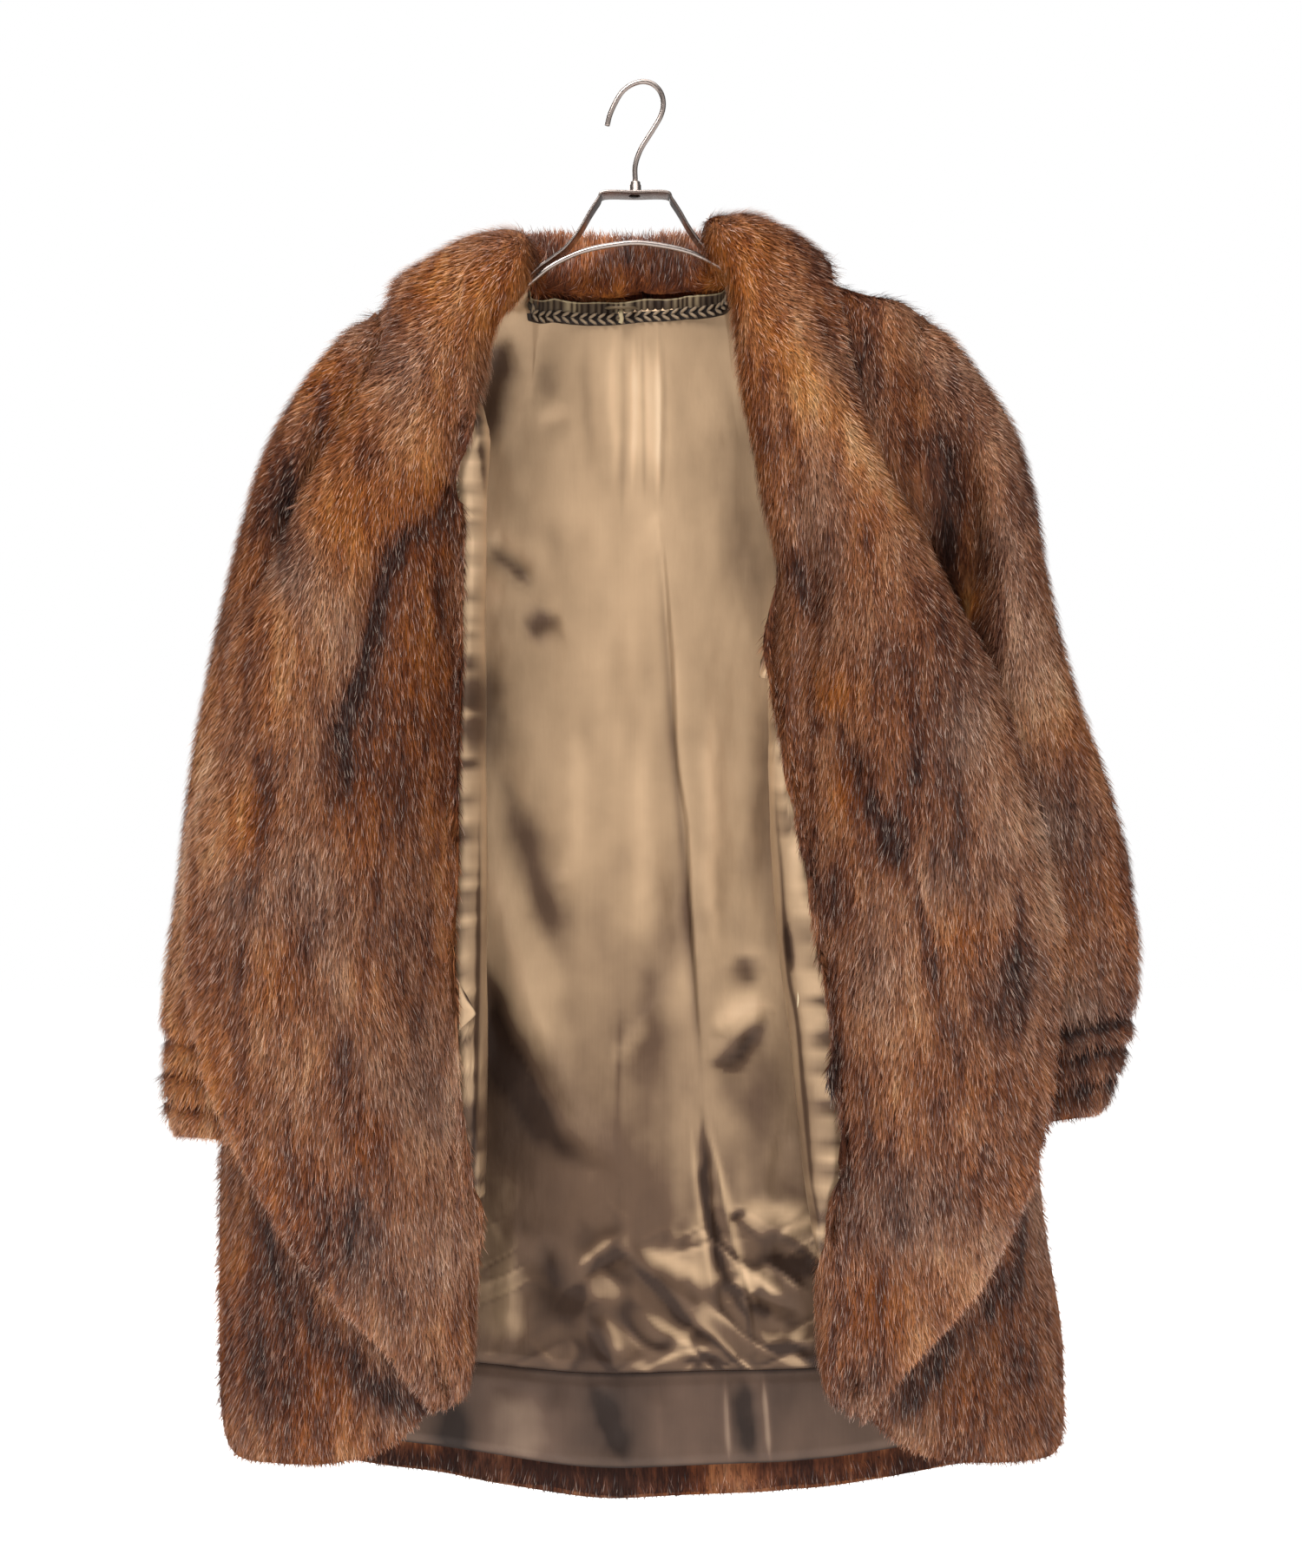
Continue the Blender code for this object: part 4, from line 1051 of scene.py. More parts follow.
    def swollen(self, places: np.ndarray, facing: np.ndarray) -> np.ndarray:
        """How far the fur swells where two pieces meet or the collar rolls in, in metres."""
        x, y, z = places.T
        inward = np.clip(-facing[:, 0] * self.side, 0, 1)
        if self.lie is Lie.SHAWL:
            level, reach, most = ((-0.155, 0.020, 12 * MM), (-0.118, 0.026, 14 * MM))[int(self.side > 0)]
            roll = np.exp(-(((z - level) / reach) ** 2)) * smoothstep(0.035, 0.012, y) * inward
            retreat = np.exp(-(((z + 0.425) / 0.045) ** 2)) * inward * (self.side > 0) * smoothstep(
                0.13, 0.11, x,
            )
            return most * roll - 7 * MM * retreat
        reach = smoothstep(0.20, 0.235, np.abs(x))
        seam = np.exp(-(((z + 0.412) / 0.042) ** 2)) * reach
        top = np.exp(-(((np.abs(x) - 0.203) / 0.022) ** 2)) * np.exp(-(((z + 0.185) / 0.030) ** 2))
        if self.lie is Lie.SLEEVE:
            return 11 * MM * seam * inward + 5 * MM * top
        return 7 * MM * seam * np.clip(facing[:, 0] * np.sign(x), 0, 1) + 5 * MM * top

    @staticmethod
    def foot(places: np.ndarray) -> np.ndarray:
        """Height of the piece's lower edge below each point."""
        column = np.linspace(places[:, 0].min(), places[:, 0].max(), 60)
        which = np.searchsorted(column, places[:, 0]).clip(0, 59)
        lowest = np.full(60, np.inf)
        np.minimum.at(lowest, which, places[:, 2])
        return lowest[which]

    def pressed(self, places: np.ndarray) -> np.ndarray:
        """Height of the creases and ridges at each point of the fur side, in metres."""
        relief = MM * drawn(FUR_FOLDS, places)
        return relief - 5.5 * MM * self.ridged(places)

    def ridged(self, places: np.ndarray) -> np.ndarray:
        """Where the pelts above the cuff are pressed together, from 0 to 1."""
        pressed = np.zeros(len(places))
        if self.lie is Lie.SLEEVE:
            rise = 0.16 * (np.abs(places[:, 0]) - 0.27)
            for z in CUFF_RIDGES[int(self.side > 0)]:
                pressed += np.exp(-(((places[:, 2] - z * MM - rise) / (4.0 * MM)) ** 2))
        return pressed

    def build(self, cage: bpy.types.Object, fur: dict) -> None:
        """Round the skin, press its creases and grow the hair.

        Args:
            cage: The piece's cage, with its "cover" and "open" attributes.
            fur: Material of each layer of the pelt.
        """
        skin = rounded(cage, 2)
        mesh = skin.data
        places, facing = positions(mesh), normals(mesh)
        cover = np.clip(recall(mesh, "cover"), 0, 1)
        thick = recall(mesh, "thick")
        lump = self.LUMP * value_noise(places, (0.045, 0.045, 0.11), SEED + 11)
        lump += 0.5 * self.LUMP * value_noise(places, (0.022, 0.022, 0.05), SEED + 12)
        relief = self.pressed(places) if self.marked else np.zeros(len(places))
        room = np.clip(thick / (12 * MM), 0.2, 1)
        out = (lump + relief - self.SINK) * cover * room - self.LEATHER * (1 - cover) * room
        out += self.swollen(places, facing) * cover
        places = places + facing * out[:, None]
        places = settled_neck(places) if self.lie is Lie.SHAWL else places
        move_to(mesh, places)
        facing = normals(mesh)
        # painted shade in the creases and painted light on the ridges and lumps
        light, warmth = 0.13 * np.clip(relief, -7 * MM, 4 * MM) / MM, np.zeros(len(places))
        light += 0.20 * lump / MM
        # painted shade on the back's lower rim, where the inside of the hem lies in shadow
        if not self.marked:
            rim = smoothstep(-1.030, -1.045, places[:, 2]) * smoothstep(0.3, -0.2, facing[:, 1])
            light -= 1.1 * rim * (1 - np.exp(-(((places[:, 0] - 0.066) / 0.024) ** 2)))
        # painted shade in the deep creases, under the flaps and in the cuff's pressed grooves, and the
        # patches' painted light and shade
        if self.marked:
            light += drawn(FUR_SHADES, places, 2 * MM) - (0.35 if self.side > 0 else 0.7) * self.ridged(
                places,
            )
            for patch in PATCHES:
                weight = patch.weight(places)
                light += patch.light * weight
                warmth += patch.warm * weight
        light = np.where(light < 0, 1.3 * np.tanh(light / 1.3), light)
        store(mesh, "light", np.clip(light, -1.3, 1.2))
        store(mesh, "warmth", np.clip(warmth, -1.2, 1.2))
        store(mesh, "comb", self.comb(places, facing))
        hem = smoothstep(16 * MM, 4 * MM, places[:, 2] - self.foot(places))
        store(mesh, "trim", 1 - (0.62 if not self.marked else 0.45) * hem)
        seen = np.clip(recall(mesh, "open") * 1.9 - 0.10, 0.03, 1.0)
        grown = smoothstep(0.1, 0.5, cover) * seen
        if not self.marked:
            grown = np.maximum(grown, smoothstep(14 * MM, 10 * MM, places[:, 2] - self.foot(places)))
        store(mesh, "cover", grown)
        skin.data.materials.clear()
        skin.data.materials.append(fur[FurPart.SKIN])
        down = HairTree.DOWN.grow(skin, f"{self.name}_underfur", fur[FurPart.UNDERFUR], self.density)
        guard = HairTree.GUARD.grow(skin, f"{self.name}_guard_hair", fur[FurPart.GUARD], self.density)
        self.pieces = [skin, down, guard]
        for label in ("comb", "cover", "open", "thick", "trim"):
            mesh.attributes.remove(mesh.attributes[label])
        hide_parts(*self.nodes)
        for piece in self.pieces:
            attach(piece, BODY)
        half = sum(face.area for face in skin.data.polygons) / 2
        LOG.info("%s: %.3f m2, %s triangles", self.name, half, [triangles(p) for p in self.pieces])


@dataclass(frozen=True)
class Hair:
    """One kind of hair, as thin pointed blades set on the skin by Geometry Nodes.

    Attributes:
        name: Name of the node tree.
        corners: Corners of a blade: 3 for a plain point, 4 for one that bends.
        per_area: Hairs on a square metre of open skin.
        length: Mean length, in metres.
        width: Width at its widest, in metres.
        rise: Height of the tip over the root, as a share of the length.
        stray: How far single hairs turn from the way the fur is combed.
        seed: Number that fixes the scatter.
    """

    name: str
    corners: int
    per_area: float
    length: float
    width: float
    rise: float
    stray: float
    seed: int

    def tree(self) -> bpy.types.NodeTree:
        """Build the node tree that scatters and turns the blades."""
        sizes = dict.fromkeys(("Hairs per square metre", "Length", "Width", "Rise", "Stray"), "Float")
        tree, given = new_group(self.name, "Skin", {**sizes, "Seed": "Int", "Material": "Material"}, "Hair")

        # the blade: root at the origin, tip one unit along X, one unit wide
        blade = add_node(tree, "GeometryNodeMeshCircle", {"Vertices": self.corners}, fill_type="NGON")
        spot = add_node(tree, "ShaderNodeSeparateXYZ", {0: add_node(tree, "GeometryNodeInputPosition")})
        reach = {"From Min": -0.5 if self.corners == 3 else -1.0, "From Max": 1.0}
        along = add_node(tree, "ShaderNodeMapRange", {"Value": spot.outputs["X"], **reach})
        side = add_node(tree, "ShaderNodeMath", {0: spot.outputs["Y"], 1: 0.5}, operation="MULTIPLY")
        arch = add_node(tree, "ShaderNodeMath", {0: along, 1: 0.62}, operation="POWER")
        tall = add_node(tree, "ShaderNodeMath", {0: arch, 1: given["Rise"]}, operation="MULTIPLY")
        shape = add_node(tree, "ShaderNodeCombineXYZ", {"X": along, "Y": side, "Z": tall})
        for label, value in (("along", along), ("aside", side)):
            kept = {"Geometry": blade, "Name": label, "Value": value}
            blade = add_node(tree, "GeometryNodeStoreNamedAttribute", kept, data_type="FLOAT", domain="POINT")
        blade = add_node(tree, "GeometryNodeSetPosition", {"Geometry": blade, "Position": shape})

        # the scatter
        cover, comb, trim = (
            add_node(tree, "GeometryNodeInputNamedAttribute", {"Name": label}, data_type=kind)
            for label, kind in (("cover", "FLOAT"), ("comb", "FLOAT_VECTOR"), ("trim", "FLOAT"))
        )
        thick = {0: cover, 1: given["Hairs per square metre"]}
        density = add_node(tree, "ShaderNodeMath", thick, operation="MULTIPLY")
        spread = {"Mesh": given["Skin"], "Density": density, "Seed": given["Seed"]}
        scatter = add_node(tree, "GeometryNodeDistributePointsOnFaces", spread, distribute_method="RANDOM")
        ends = {0: (-1.0, -1.0, -1.0), 1: (1.0, 1.0, 1.0), "Seed": given["Seed"]}
        turned = add_node(tree, "FunctionNodeRandomValue", ends, data_type="FLOAT_VECTOR")
        strayed = add_node(
            tree, "ShaderNodeVectorMath", {0: turned, "Scale": given["Stray"]}, operation="SCALE",
        )
        way = add_node(tree, "ShaderNodeVectorMath", {0: comb, 1: strayed}, operation="ADD")
        axes = {"Primary Axis": scatter.outputs["Normal"], "Secondary Axis": way}
        turn = add_node(tree, "FunctionNodeAxesToRotation", axes, primary_axis="Z", secondary_axis="X")
        long, chance = (
            add_node(tree, "FunctionNodeRandomValue", values, data_type="FLOAT").outputs[1]
            for values in ({2: 0.6, 3: 1.25, "Seed": given["Seed"]}, {2: 0.0, 3: 1.0, "Seed": self.seed + 40})
        )
        for share in (trim, given["Length"]):
            long = add_node(tree, "ShaderNodeMath", {0: long, 1: share}, operation="MULTIPLY")
        size = add_node(tree, "ShaderNodeCombineXYZ", {"X": long, "Y": given["Width"], "Z": long})
        set_out = {"Points": scatter, "Instance": blade, "Rotation": turn, "Scale": size}
        grown = add_node(tree, "GeometryNodeInstanceOnPoints", set_out)
        for label, kind, value in (
            ("tint", "FLOAT", chance),
            ("skin", "FLOAT_VECTOR", scatter.outputs["Normal"]),
            ("way", "FLOAT_VECTOR", way),
        ):
            kept = {"Geometry": grown, "Name": label, "Value": value}
            grown = add_node(tree, "GeometryNodeStoreNamedAttribute", kept, data_type=kind, domain="INSTANCE")
        real = add_node(tree, "GeometryNodeRealizeInstances", {"Geometry": grown})
        dressed = add_node(tree, "GeometryNodeSetMaterial", {"Geometry": real, "Material": given["Material"]})
        add_node(tree, "NodeGroupOutput", {0: dressed})
        return tree

    def grow(
        self, skin: bpy.types.Object, name: str, material: bpy.types.Material, density: float
    ) -> bpy.types.Object:
        """Grow this kind of hair on a skin.

        Args:
            skin: Skin with its "cover", "comb", "light" and "warmth" attributes.
            name: Name of the new piece.
            material: Material of the hair.
            density: Share of the full number of hairs.

        Returns:
            The hair as one plain mesh object.
        """
        values = {
            "Hairs per square metre": self.per_area * density,
            "Length": self.length,
            "Width": self.width,
            "Rise": self.rise,
            "Stray": self.stray,
            "Seed": self.seed,
            "Material": material,
        }
        tree = bpy.data.node_groups.get(self.name) or self.tree()
        hair = grow_on(in_scene(name, skin.data.copy()), tree, values)
        self.round_off(hair.data)
        return hair

    @staticmethod
    def round_off(mesh: bpy.types.Mesh) -> None:
        """Give the flat blades the shading of round hairs that share the skin's shading."""
        count = len(mesh.vertices)
        parts = {}
        for label in ("skin", "way"):
            flat = np.empty(count * 3, np.float32)
            mesh.attributes[label].data.foreach_get("vector", flat)
            parts[label] = flat.reshape(-1, 3).astype(float)
        aside = recall(mesh, "aside")
        tint = recall(mesh, "tint")
        across = unit(np.cross(parts["skin"], parts["way"]))
        lean = (tint * 53.0 % 1.0 - 0.5) * 0.7
        bent = parts["skin"] + across * (aside * 1.5 + lean)[:, None] + 0.22 * unit(parts["way"])
        mesh.polygons.foreach_set("use_smooth", [True] * len(mesh.polygons))
        mesh.normals_split_custom_set_from_vertices([tuple(v) for v in unit(bent)])
        for label in ("skin", "way", "aside", "comb", "cover", "open", "thick", "trim"):
            layer = mesh.attributes.get(label)
            if layer:
                mesh.attributes.remove(layer)


class HairTree:
    """The two kinds of hair of a mink pelt."""

    # underfur is 0.02 mm thick; it is drawn 0.95 mm wide, as the locks it gathers in
    DOWN = Hair("underfur", 3, 300000.0, 9.5 * MM, 0.95 * MM, 0.38, 0.34, SEED)
    # guard hairs are about 0.1 mm thick and are drawn 0.5 mm wide
    GUARD = Hair("guard_hair", 4, 130000.0, 11.5 * MM, 0.50 * MM, 0.42, 0.30, SEED + 3)


def front_pelts(side: str) -> tuple[Pelt, ...]:
    """The front, the sleeve and the shawl of one side of the coat."""
    front, flap, shawl = f"front_{side}", f"flap_{side}", f"shawl_{side}"
    sleeve = (f"sleeve_{side}_front", f"sleeve_{side}_back")
    carrier = (f"front_{side}_fur",)
    return (
        Pelt(
            front, (front, flap), Lie.HANGING, (0.42, 0.93), 0.26, ("back_fur",), (
                f"lining_front_{side}",
            ), 0.9
        ),
        Pelt(f"sleeve_{side}", sleeve, Lie.SLEEVE, (0.40, 0.60), 0.19, carrier, (), 0.95),
        Pelt(shawl, (shawl,), Lie.SHAWL, (0.22, 1.15), 0.17, carrier, (front, flap), 1.0),
    )


PELTS = (
    Pelt(
        "back", ("back",), Lie.HANGING, (0.68, 0.93), 0.50, ("hanger_band",), ("lining_back",), 0.42,
            marked=False
    ),
    *front_pelts("left"),
    *front_pelts("right"),
)


# --- neck -------------------------------------------------------------------------------
NECKLINE = (
    (-91, 4, -136), (-88, 16, -138.5), (-70, 32, -144), (-36, 42, -149), (0, 45, -150), (34, 42, -148),
    (60, 32, -141), (69, 16, -134.5), (69, 4, -130),
)
# how far the neck seam sags on the hanger: X and drop, in mm
NECK_SAG = ((-95, 20), (-80, 15), (-70, 10), (-36, 6), (0, 2), (34, 2), (48, 5), (60, 8), (72, 13))


def settled_neck(places: np.ndarray) -> np.ndarray:
    """Let the neck seam and what is sewn to it sag as it does between the hanger's shoulders."""
    line = np.array(NECKLINE) * MM
    level = np.interp(places[:, 0], line[:, 0][:-1], line[:, 2][:-1])
    sag = np.interp(places[:, 0] / MM, *zip(*NECK_SAG)) * MM
    near = np.exp(-(((places[:, 2] - level) / (24 * MM)) ** 2)) * smoothstep(0.002, 0.014, places[:, 1])
    near *= smoothstep(-0.115, -0.098, places[:, 0]) * smoothstep(0.095, 0.080, places[:, 0])
    out = places.copy()
    out[:, 2] -= sag * near
    return out


# --- satin lining -----------------------------------------------------------------------
@dataclass(frozen=True)
class Satin:
    """Acetate satin: long floats of filament yarn give a soft directional gloss.

    Attributes:
        name: Name of the material.
        shades: Colours from the painted shade of the deepest fold to the painted highlight of the brightest
            ridge.
        roughness: Roughness of the yarn.
        metallic: Share of coloured gloss, which stands for the filament's own lustre.
    """

    name: str = "lining_satin"
    shades: tuple[str, ...] = ("#35261E", "#614B3B", "#AE9172", "#D6B490", "#F4D6B2")
    roughness: float = 0.36
    metallic: float = 0.30

    def material(self) -> bpy.types.Material:
        """Woven satin with faint slubs along its length and small soft puckers, coloured by the painted light
        and shade in its tone attribute.
        """
        made, tree = new_material(self.name)
        place = add_node(tree, "ShaderNodeTexCoord").outputs["Object"]
        # tone holds painted light and shade of the folds and the satin's sheen
        tone = add_node(tree, "ShaderNodeAttribute", attribute_name="tone", attribute_type="GEOMETRY")
        # slubs 1.5 mm wide and 60 mm long
        along = add_node(tree, "ShaderNodeMapping", {"Vector": place, "Scale": (650.0, 650.0, 16.0)})
        slubs = add_node(
            tree, "ShaderNodeTexNoise", {"Vector": along, "Scale": 1.0, "Detail": 3.0},
        )
        # cloudy difference of tone, 50 mm wide
        clouds = add_node(tree, "ShaderNodeTexNoise", {"Vector": place, "Scale": 20.0, "Detail": 3.0})
        level = add_node(
            tree, "ShaderNodeMath", {0: slubs.outputs["Fac"], 1: 0.03, 2: 0.385}, operation="MULTIPLY_ADD"
        )
        level = add_node(
            tree, "ShaderNodeMath", {0: clouds.outputs["Fac"], 1: 0.20,
                2: level}, operation="MULTIPLY_ADD"
        )
        level = add_node(
            tree, "ShaderNodeMath", {0: tone.outputs["Fac"], 1: 0.40,
                2: level}, operation="MULTIPLY_ADD"
        )
        stops = list(zip((0.0, 0.26, 0.5, 0.74, 1.0), self.shades))
        ramp = add_node(tree, "ShaderNodeValToRGB", {"Fac": level}, stops=stops)
        # puckers 7 mm wide, 0.25 mm deep
        loose = add_node(tree, "ShaderNodeMapping", {"Vector": place, "Scale": (150.0, 150.0, 60.0)})
        pucker = add_node(
            tree, "ShaderNodeTexNoise", {"Vector": loose, "Scale": 1.0, "Detail": 2.0},
        )
        soft = add_node(
            tree, "ShaderNodeBump", {"Height": pucker.outputs["Fac"], "Strength": 0.5, "Distance": 0.0006}
        )
        weave = add_node(
            tree,
            "ShaderNodeBump",
            {"Height": slubs.outputs["Fac"], "Normal": soft, "Strength": 0.03, "Distance": 0.0002},
        )
        shader = add_node(
            tree,
            "ShaderNodeBsdfPrincipled",
            {
                "Base Color": ramp.outputs["Color"],
                "Normal": weave,
                "Roughness": self.roughness,
                "Metallic": self.metallic,
                "Specular IOR Level": 0.18,
            },
        )
        finish_with(tree, shader)
        return made


BACK_FOLDS = strokes(
    (((-123, -326), (-114, -335), (-101, -349), (-90, -363), (-83, -375)), -3.1, 7, 7),
    (((-142, -322), (-129, -342), (-113, -359), (-94, -378), (-75, -393)), 2.5, 14, 14),
    (((-89, -412), (-79, -405), (-67, -394)), -3.1, 14, 14),
    (((-8, -172), (-7, -235), (-9, -302)), 1.5, 4, 4),
    (((4, -172), (6, -242), (7, -315)), 1.5, 4, 4),
    (((11, -172), (12, -242), (11, -315)), 1.5, 4, 3),
    (((-2, -172), (-1, -235), (-1, -309)), 1.2, 3, 4),
    (((-24, -172), (-22, -230), (-23, -300)), 1.2, 7, 7),
    (((-13, -305), (-11, -389), (-9, -495), (-6, -562)), 1.6, 12, 12),
    (((-54, -322), (-53, -415), (-51, -509), (-53, -575)), 1.6, 14, 14),
    (((-33, -202), (-31, -295), (-30, -429)), 2, 13, 13),
    (((44, -375), (47, -455), (51, -549), (54, -638)), 1.9, 15, 15),
    (((-123, -382), (-117, -455), (-111, -509), (-99, -549)), -2.5, 14, 14),
    (((-101, -179), (-117, -209), (-125, -242)), -3.1, 12, 12),
    (((-111, -215), (-107, -269), (-94, -309)), 1.9, 12, 12),
    (((-70, -235), (-67, -255)), -2, 10, 10),
    (
        (
            (11, -317), (14, -339), (17, -389), (21, -455), (24, -509), (31, -557), (33, -618), (38, -678),
            (42, -720), (45, -760),
        ),
        4, 22, 2.5,
    ),
    (((45, -748), (50, -788), (56, -828), (60, -868), (66, -902), (71, -935), (76, -975)), -1.9, 8, 8),
    (((43, -769), (49, -820), (52, -867), (54, -895), (57, -923), (64, -962), (66, -982)), 1.6, 3, 3),
    (((47, -755), (53, -783), (60, -825), (64, -859), (72, -895), (80, -929), (85, -962), (88, -982)), 1.6,
     3, 3),
    (((-120, -547), (-114, -597), (-99, -658), (-79, -699), (-63, -730), (-47, -743)), 3.1, 14, 14),
    (((-129, -655), (-123, -688), (-111, -722), (-89, -750), (-63, -783), (-34, -802), (-14, -834)), -4.3,
     14, 14),
    (((-116, -505), (-93, -547), (-79, -587), (-69, -628), (-63, -664)), -1.9, 14, 14),
    (((-61, -592), (-63, -612)), -2, 10, 10),
    (((7, -562), (13, -629), (18, -695), (19, -755)), -2, 14, 14),
    (((-19, -738), (-4, -715), (13, -688)), -1.5, 6, 6),
    (((50, -743), (69, -736), (84, -722), (98, -707)), -2.5, 6, 6),
    (((47, -718), (63, -718), (80, -703), (99, -688)), 2.5, 10, 10),
    (((71, -652), (79, -665), (87, -678)), -1.9, 14, 14),
    (((100, -515), (92, -577), (88, -634)), -2, 12, 12),
    (((-54, -896), (-37, -882), (-17, -867)), 1.6, 7, 7),
    (((-49, -902), (-27, -890), (-4, -888)), -1.6, 6, 6),
    (((-94, -872), (-77, -896), (-57, -915), (-33, -923)), -3.1, 14, 14),
    (((-13, -874), (3, -895), (23, -914), (52, -929)), 1.9, 6, 6),
    (((-11, -892), (7, -915), (32, -936), (59, -950)), -1.9, 6, 6),
    (((-4, -925), (13, -946), (38, -951), (62, -964)), 1.6, 5, 5),
    (((-41, -935), (-24, -948), (-13, -959)), 1.6, 6, 6),
    (((-43, -943), (-33, -959), (-21, -972)), -1.9, 4, 4),
    (((-17, -928), (-13, -945), (-4, -962)), -1.9, 4, 4),
    (((30, -968), (47, -966), (64, -966)), -2.5, 4, 4),
    (((66, -863), (71, -855), (78, -852)), -1.9, 4, 4),
    (((72, -848), (87, -855), (104, -866), (119, -855), (133, -845)), 2.5, 6, 6),
    (((92, -886), (114, -882), (136, -871)), -2.5, 8, 8),
    (((103, -874), (119, -864), (136, -854)), 1.9, 6, 6),
    (((80, -915), (99, -920), (120, -930)), -2.5, 6, 6),
    (((79, -896), (94, -906), (109, -918)), 1.9, 6, 6),
    (((88, -946), (108, -954), (132, -940)), 1.9, 6, 6),
    (((95, -960), (114, -960), (132, -952)), -1.9, 6, 6),
    (((-101, -855), (-102, -902), (-104, -962)), 2, 10, 10),
    (((109, -788), (106, -815), (98, -845)), -2.5, 9, 9),
)
BAND_FOLDS = strokes(
    (((-67, -982), (-64, -1015), (-61, -1048)), 2, 9, 9),
    (((-34, -980), (-25, -1015), (-19, -1048)), -2, 9, 9),
    (((66, -976), (68, -1015), (71, -1050)), 1.6, 4, 3),
    (((88, -976), (92, -1015), (96, -1050)), 1.6, 4, 3),
    (((-110, -985), (-104, -1015), (-108, -1045)), 1.5, 12, 12),
    (((20, -985), (14, -1015), (18, -1048)), 1.5, 12, 12),
)


# painted light and shade of the back lining's folds and sheen: path (x, z), tone, width on its left and right
BACK_SHADES = strokes(
    (((-112, -516), (-99, -546), (-86, -587), (-73, -628), (-63, -672)), -0.75, 12, 13),
    (((-124, -420), (-121, -470), (-116, -520)), -0.65, 12, 16),
    (((-122, -530), (-116, -597), (-99, -658), (-79, -709), (-57, -752)), 0.75, 16, 22),
    (((-124, -650), (-117, -690), (-105, -730), (-87, -770), (-63, -801), (-36, -816)), -1.35, 15, 13),
    (((-124, -700), (-116, -760), (-104, -800), (-80, -840)), -0.55, 16, 22),
    (((20, -560), (24, -620), (14, -680), (4, -740), (0, -800)), -0.35, 17, 14),
    (((-51, -470), (-51, -540), (-50, -600)), 0.3, 8, 8),
    (((-3, -470), (-3, -530), (-2, -600), (-6, -660)), 0.35, 9, 9),
    (((50, -460), (51, -540), (52, -620), (54, -660)), 0.5, 7, 7),
    (((97, -440), (94, -500), (90, -590), (96, -640)), -0.6, 13, 20),
    (((72, -652), (77, -668), (86, -684)), -0.75, 11, 11),
    (((50, -712), (66, -703), (84, -697), (104, -690)), 0.9, 13, 12),
    (((48, -742), (60, -740), (72, -734), (84, -718), (102, -698)), -1.1, 6, 10),
    (((60, -780), (90, -760), (120, -750)), -0.35, 30, 30),
    (((-28, -742), (-14, -726), (8, -700)), 0.35, 8, 8),
    (((-122, -335), (-108, -348), (-96, -360), (-84, -378)), -0.95, 8, 9),
    (((-92, -412), (-80, -404), (-66, -392)), -0.8, 13, 13),
    (((-130, -300), (-110, -330), (-84, -352), (-68, -380)), 0.35, 14, 14),
    (((-140, -352), (-124, -372), (-104, -392)), 0.6, 14, 12),
    (((-100, -176), (-112, -205), (-122, -240), (-126, -275)), -1.1, 18, 15),
    (((-78, -200), (-74, -215), (-70, -228)), -0.35, 10, 10),
    (((3, -185), (5, -230), (8, -300)), 0.5, 14, 14),
    (((-60, -240), (-62, -300), (-58, -340)), 0.3, 20, 20),
    (((64, -200), (72, -300), (86, -400), (94, -440)), -0.45, 18, 26),
    (((24, -190), (26, -260), (30, -330)), -0.2, 8, 8),
    (((-8, -172), (-7, -235), (-9, -302)), 0.5, 2.5, 3),
    (((-1, -176), (0, -235), (1, -309)), -0.45, 2, 2),
    (((11, -172), (12, -242), (11, -315)), 0.6, 2.5, 2),
    (((15, -180), (16, -242), (14, -315)), -0.4, 1.5, 2.5),
    (((-24, -172), (-22, -230), (-23, -300)), 0.35, 4, 4),
    (((-16, -172), (-15, -240), (-17, -330)), -0.3, 3, 3),
    (((-42, -172), (-44, -230), (-40, -300)), -0.3, 5, 6),
    (((8, -318), (15, -389), (22, -470), (31, -557), (36, -640), (42, -720), (45, -760)), -0.5, 5, 2),
    (((13, -330), (20, -420), (27, -500), (35, -590), (41, -660)), 0.35, 2, 6),
    (((-107, -880), (-104, -910), (-100, -962)), 0.55, 16, 14),
    (((-82, -875), (-64, -916), (-48, -950)), -0.55, 12, 10),
    (((-58, -912), (-50, -918), (-38, -920)), -0.8, 10, 10),
    (((-52, -895), (-36, -882), (-18, -869)), 0.85, 3, 5),
    (((-48, -903), (-30, -889), (-10, -886)), -0.8, 4, 5),
    (((-8, -880), (12, -886), (36, -897), (46, -906)), 0.85, 9, 7),
    (((-12, -888), (12, -913), (33, -936), (55, -949)), -1.0, 5, 6),
    (((-4, -928), (20, -944), (42, -956), (62, -959)), 0.9, 4, 5),
    (((-44, -942), (-34, -958), (-22, -972)), -0.8, 3, 4),
    (((-30, -930), (-22, -945), (-20, -962)), 0.5, 5, 5),
    (((28, -969), (46, -967), (66, -971)), -1.3, 3, 4),
    (((42, -770), (47, -816), (53, -867), (64, -901), (80, -934), (86, -962)), -1.25, 4, 4),
    (((50, -787), (62, -836), (74, -889), (92, -940)), 0.75, 2, 4),
    (((36, -780), (41, -830), (48, -880), (56, -925)), 0.5, 3, 2),
    (((70, -848), (86, -852), (104, -855), (130, -846)), 0.85, 7, 8),
    (((66, -862), (72, -855), (82, -852)), -1.0, 3, 3),
    (((103, -873), (118, -864), (136, -852)), 0.9, 4, 4),
    (((90, -890), (112, -893), (138, -896)), -1.15, 7, 8),
    (((77, -895), (92, -905), (110, -917)), 0.7, 4, 4),
    (((80, -920), (90, -928), (104, -930)), -0.9, 6, 6),
    (((88, -944), (104, -951), (128, -941)), 0.7, 4, 4),
    (((93, -955), (108, -958), (128, -953)), -0.8, 4, 4),
    (((-19.5, -640), (-19, -720), (-19.5, -800), (-18, -860)), -0.22, 1.2, 1.2),
)
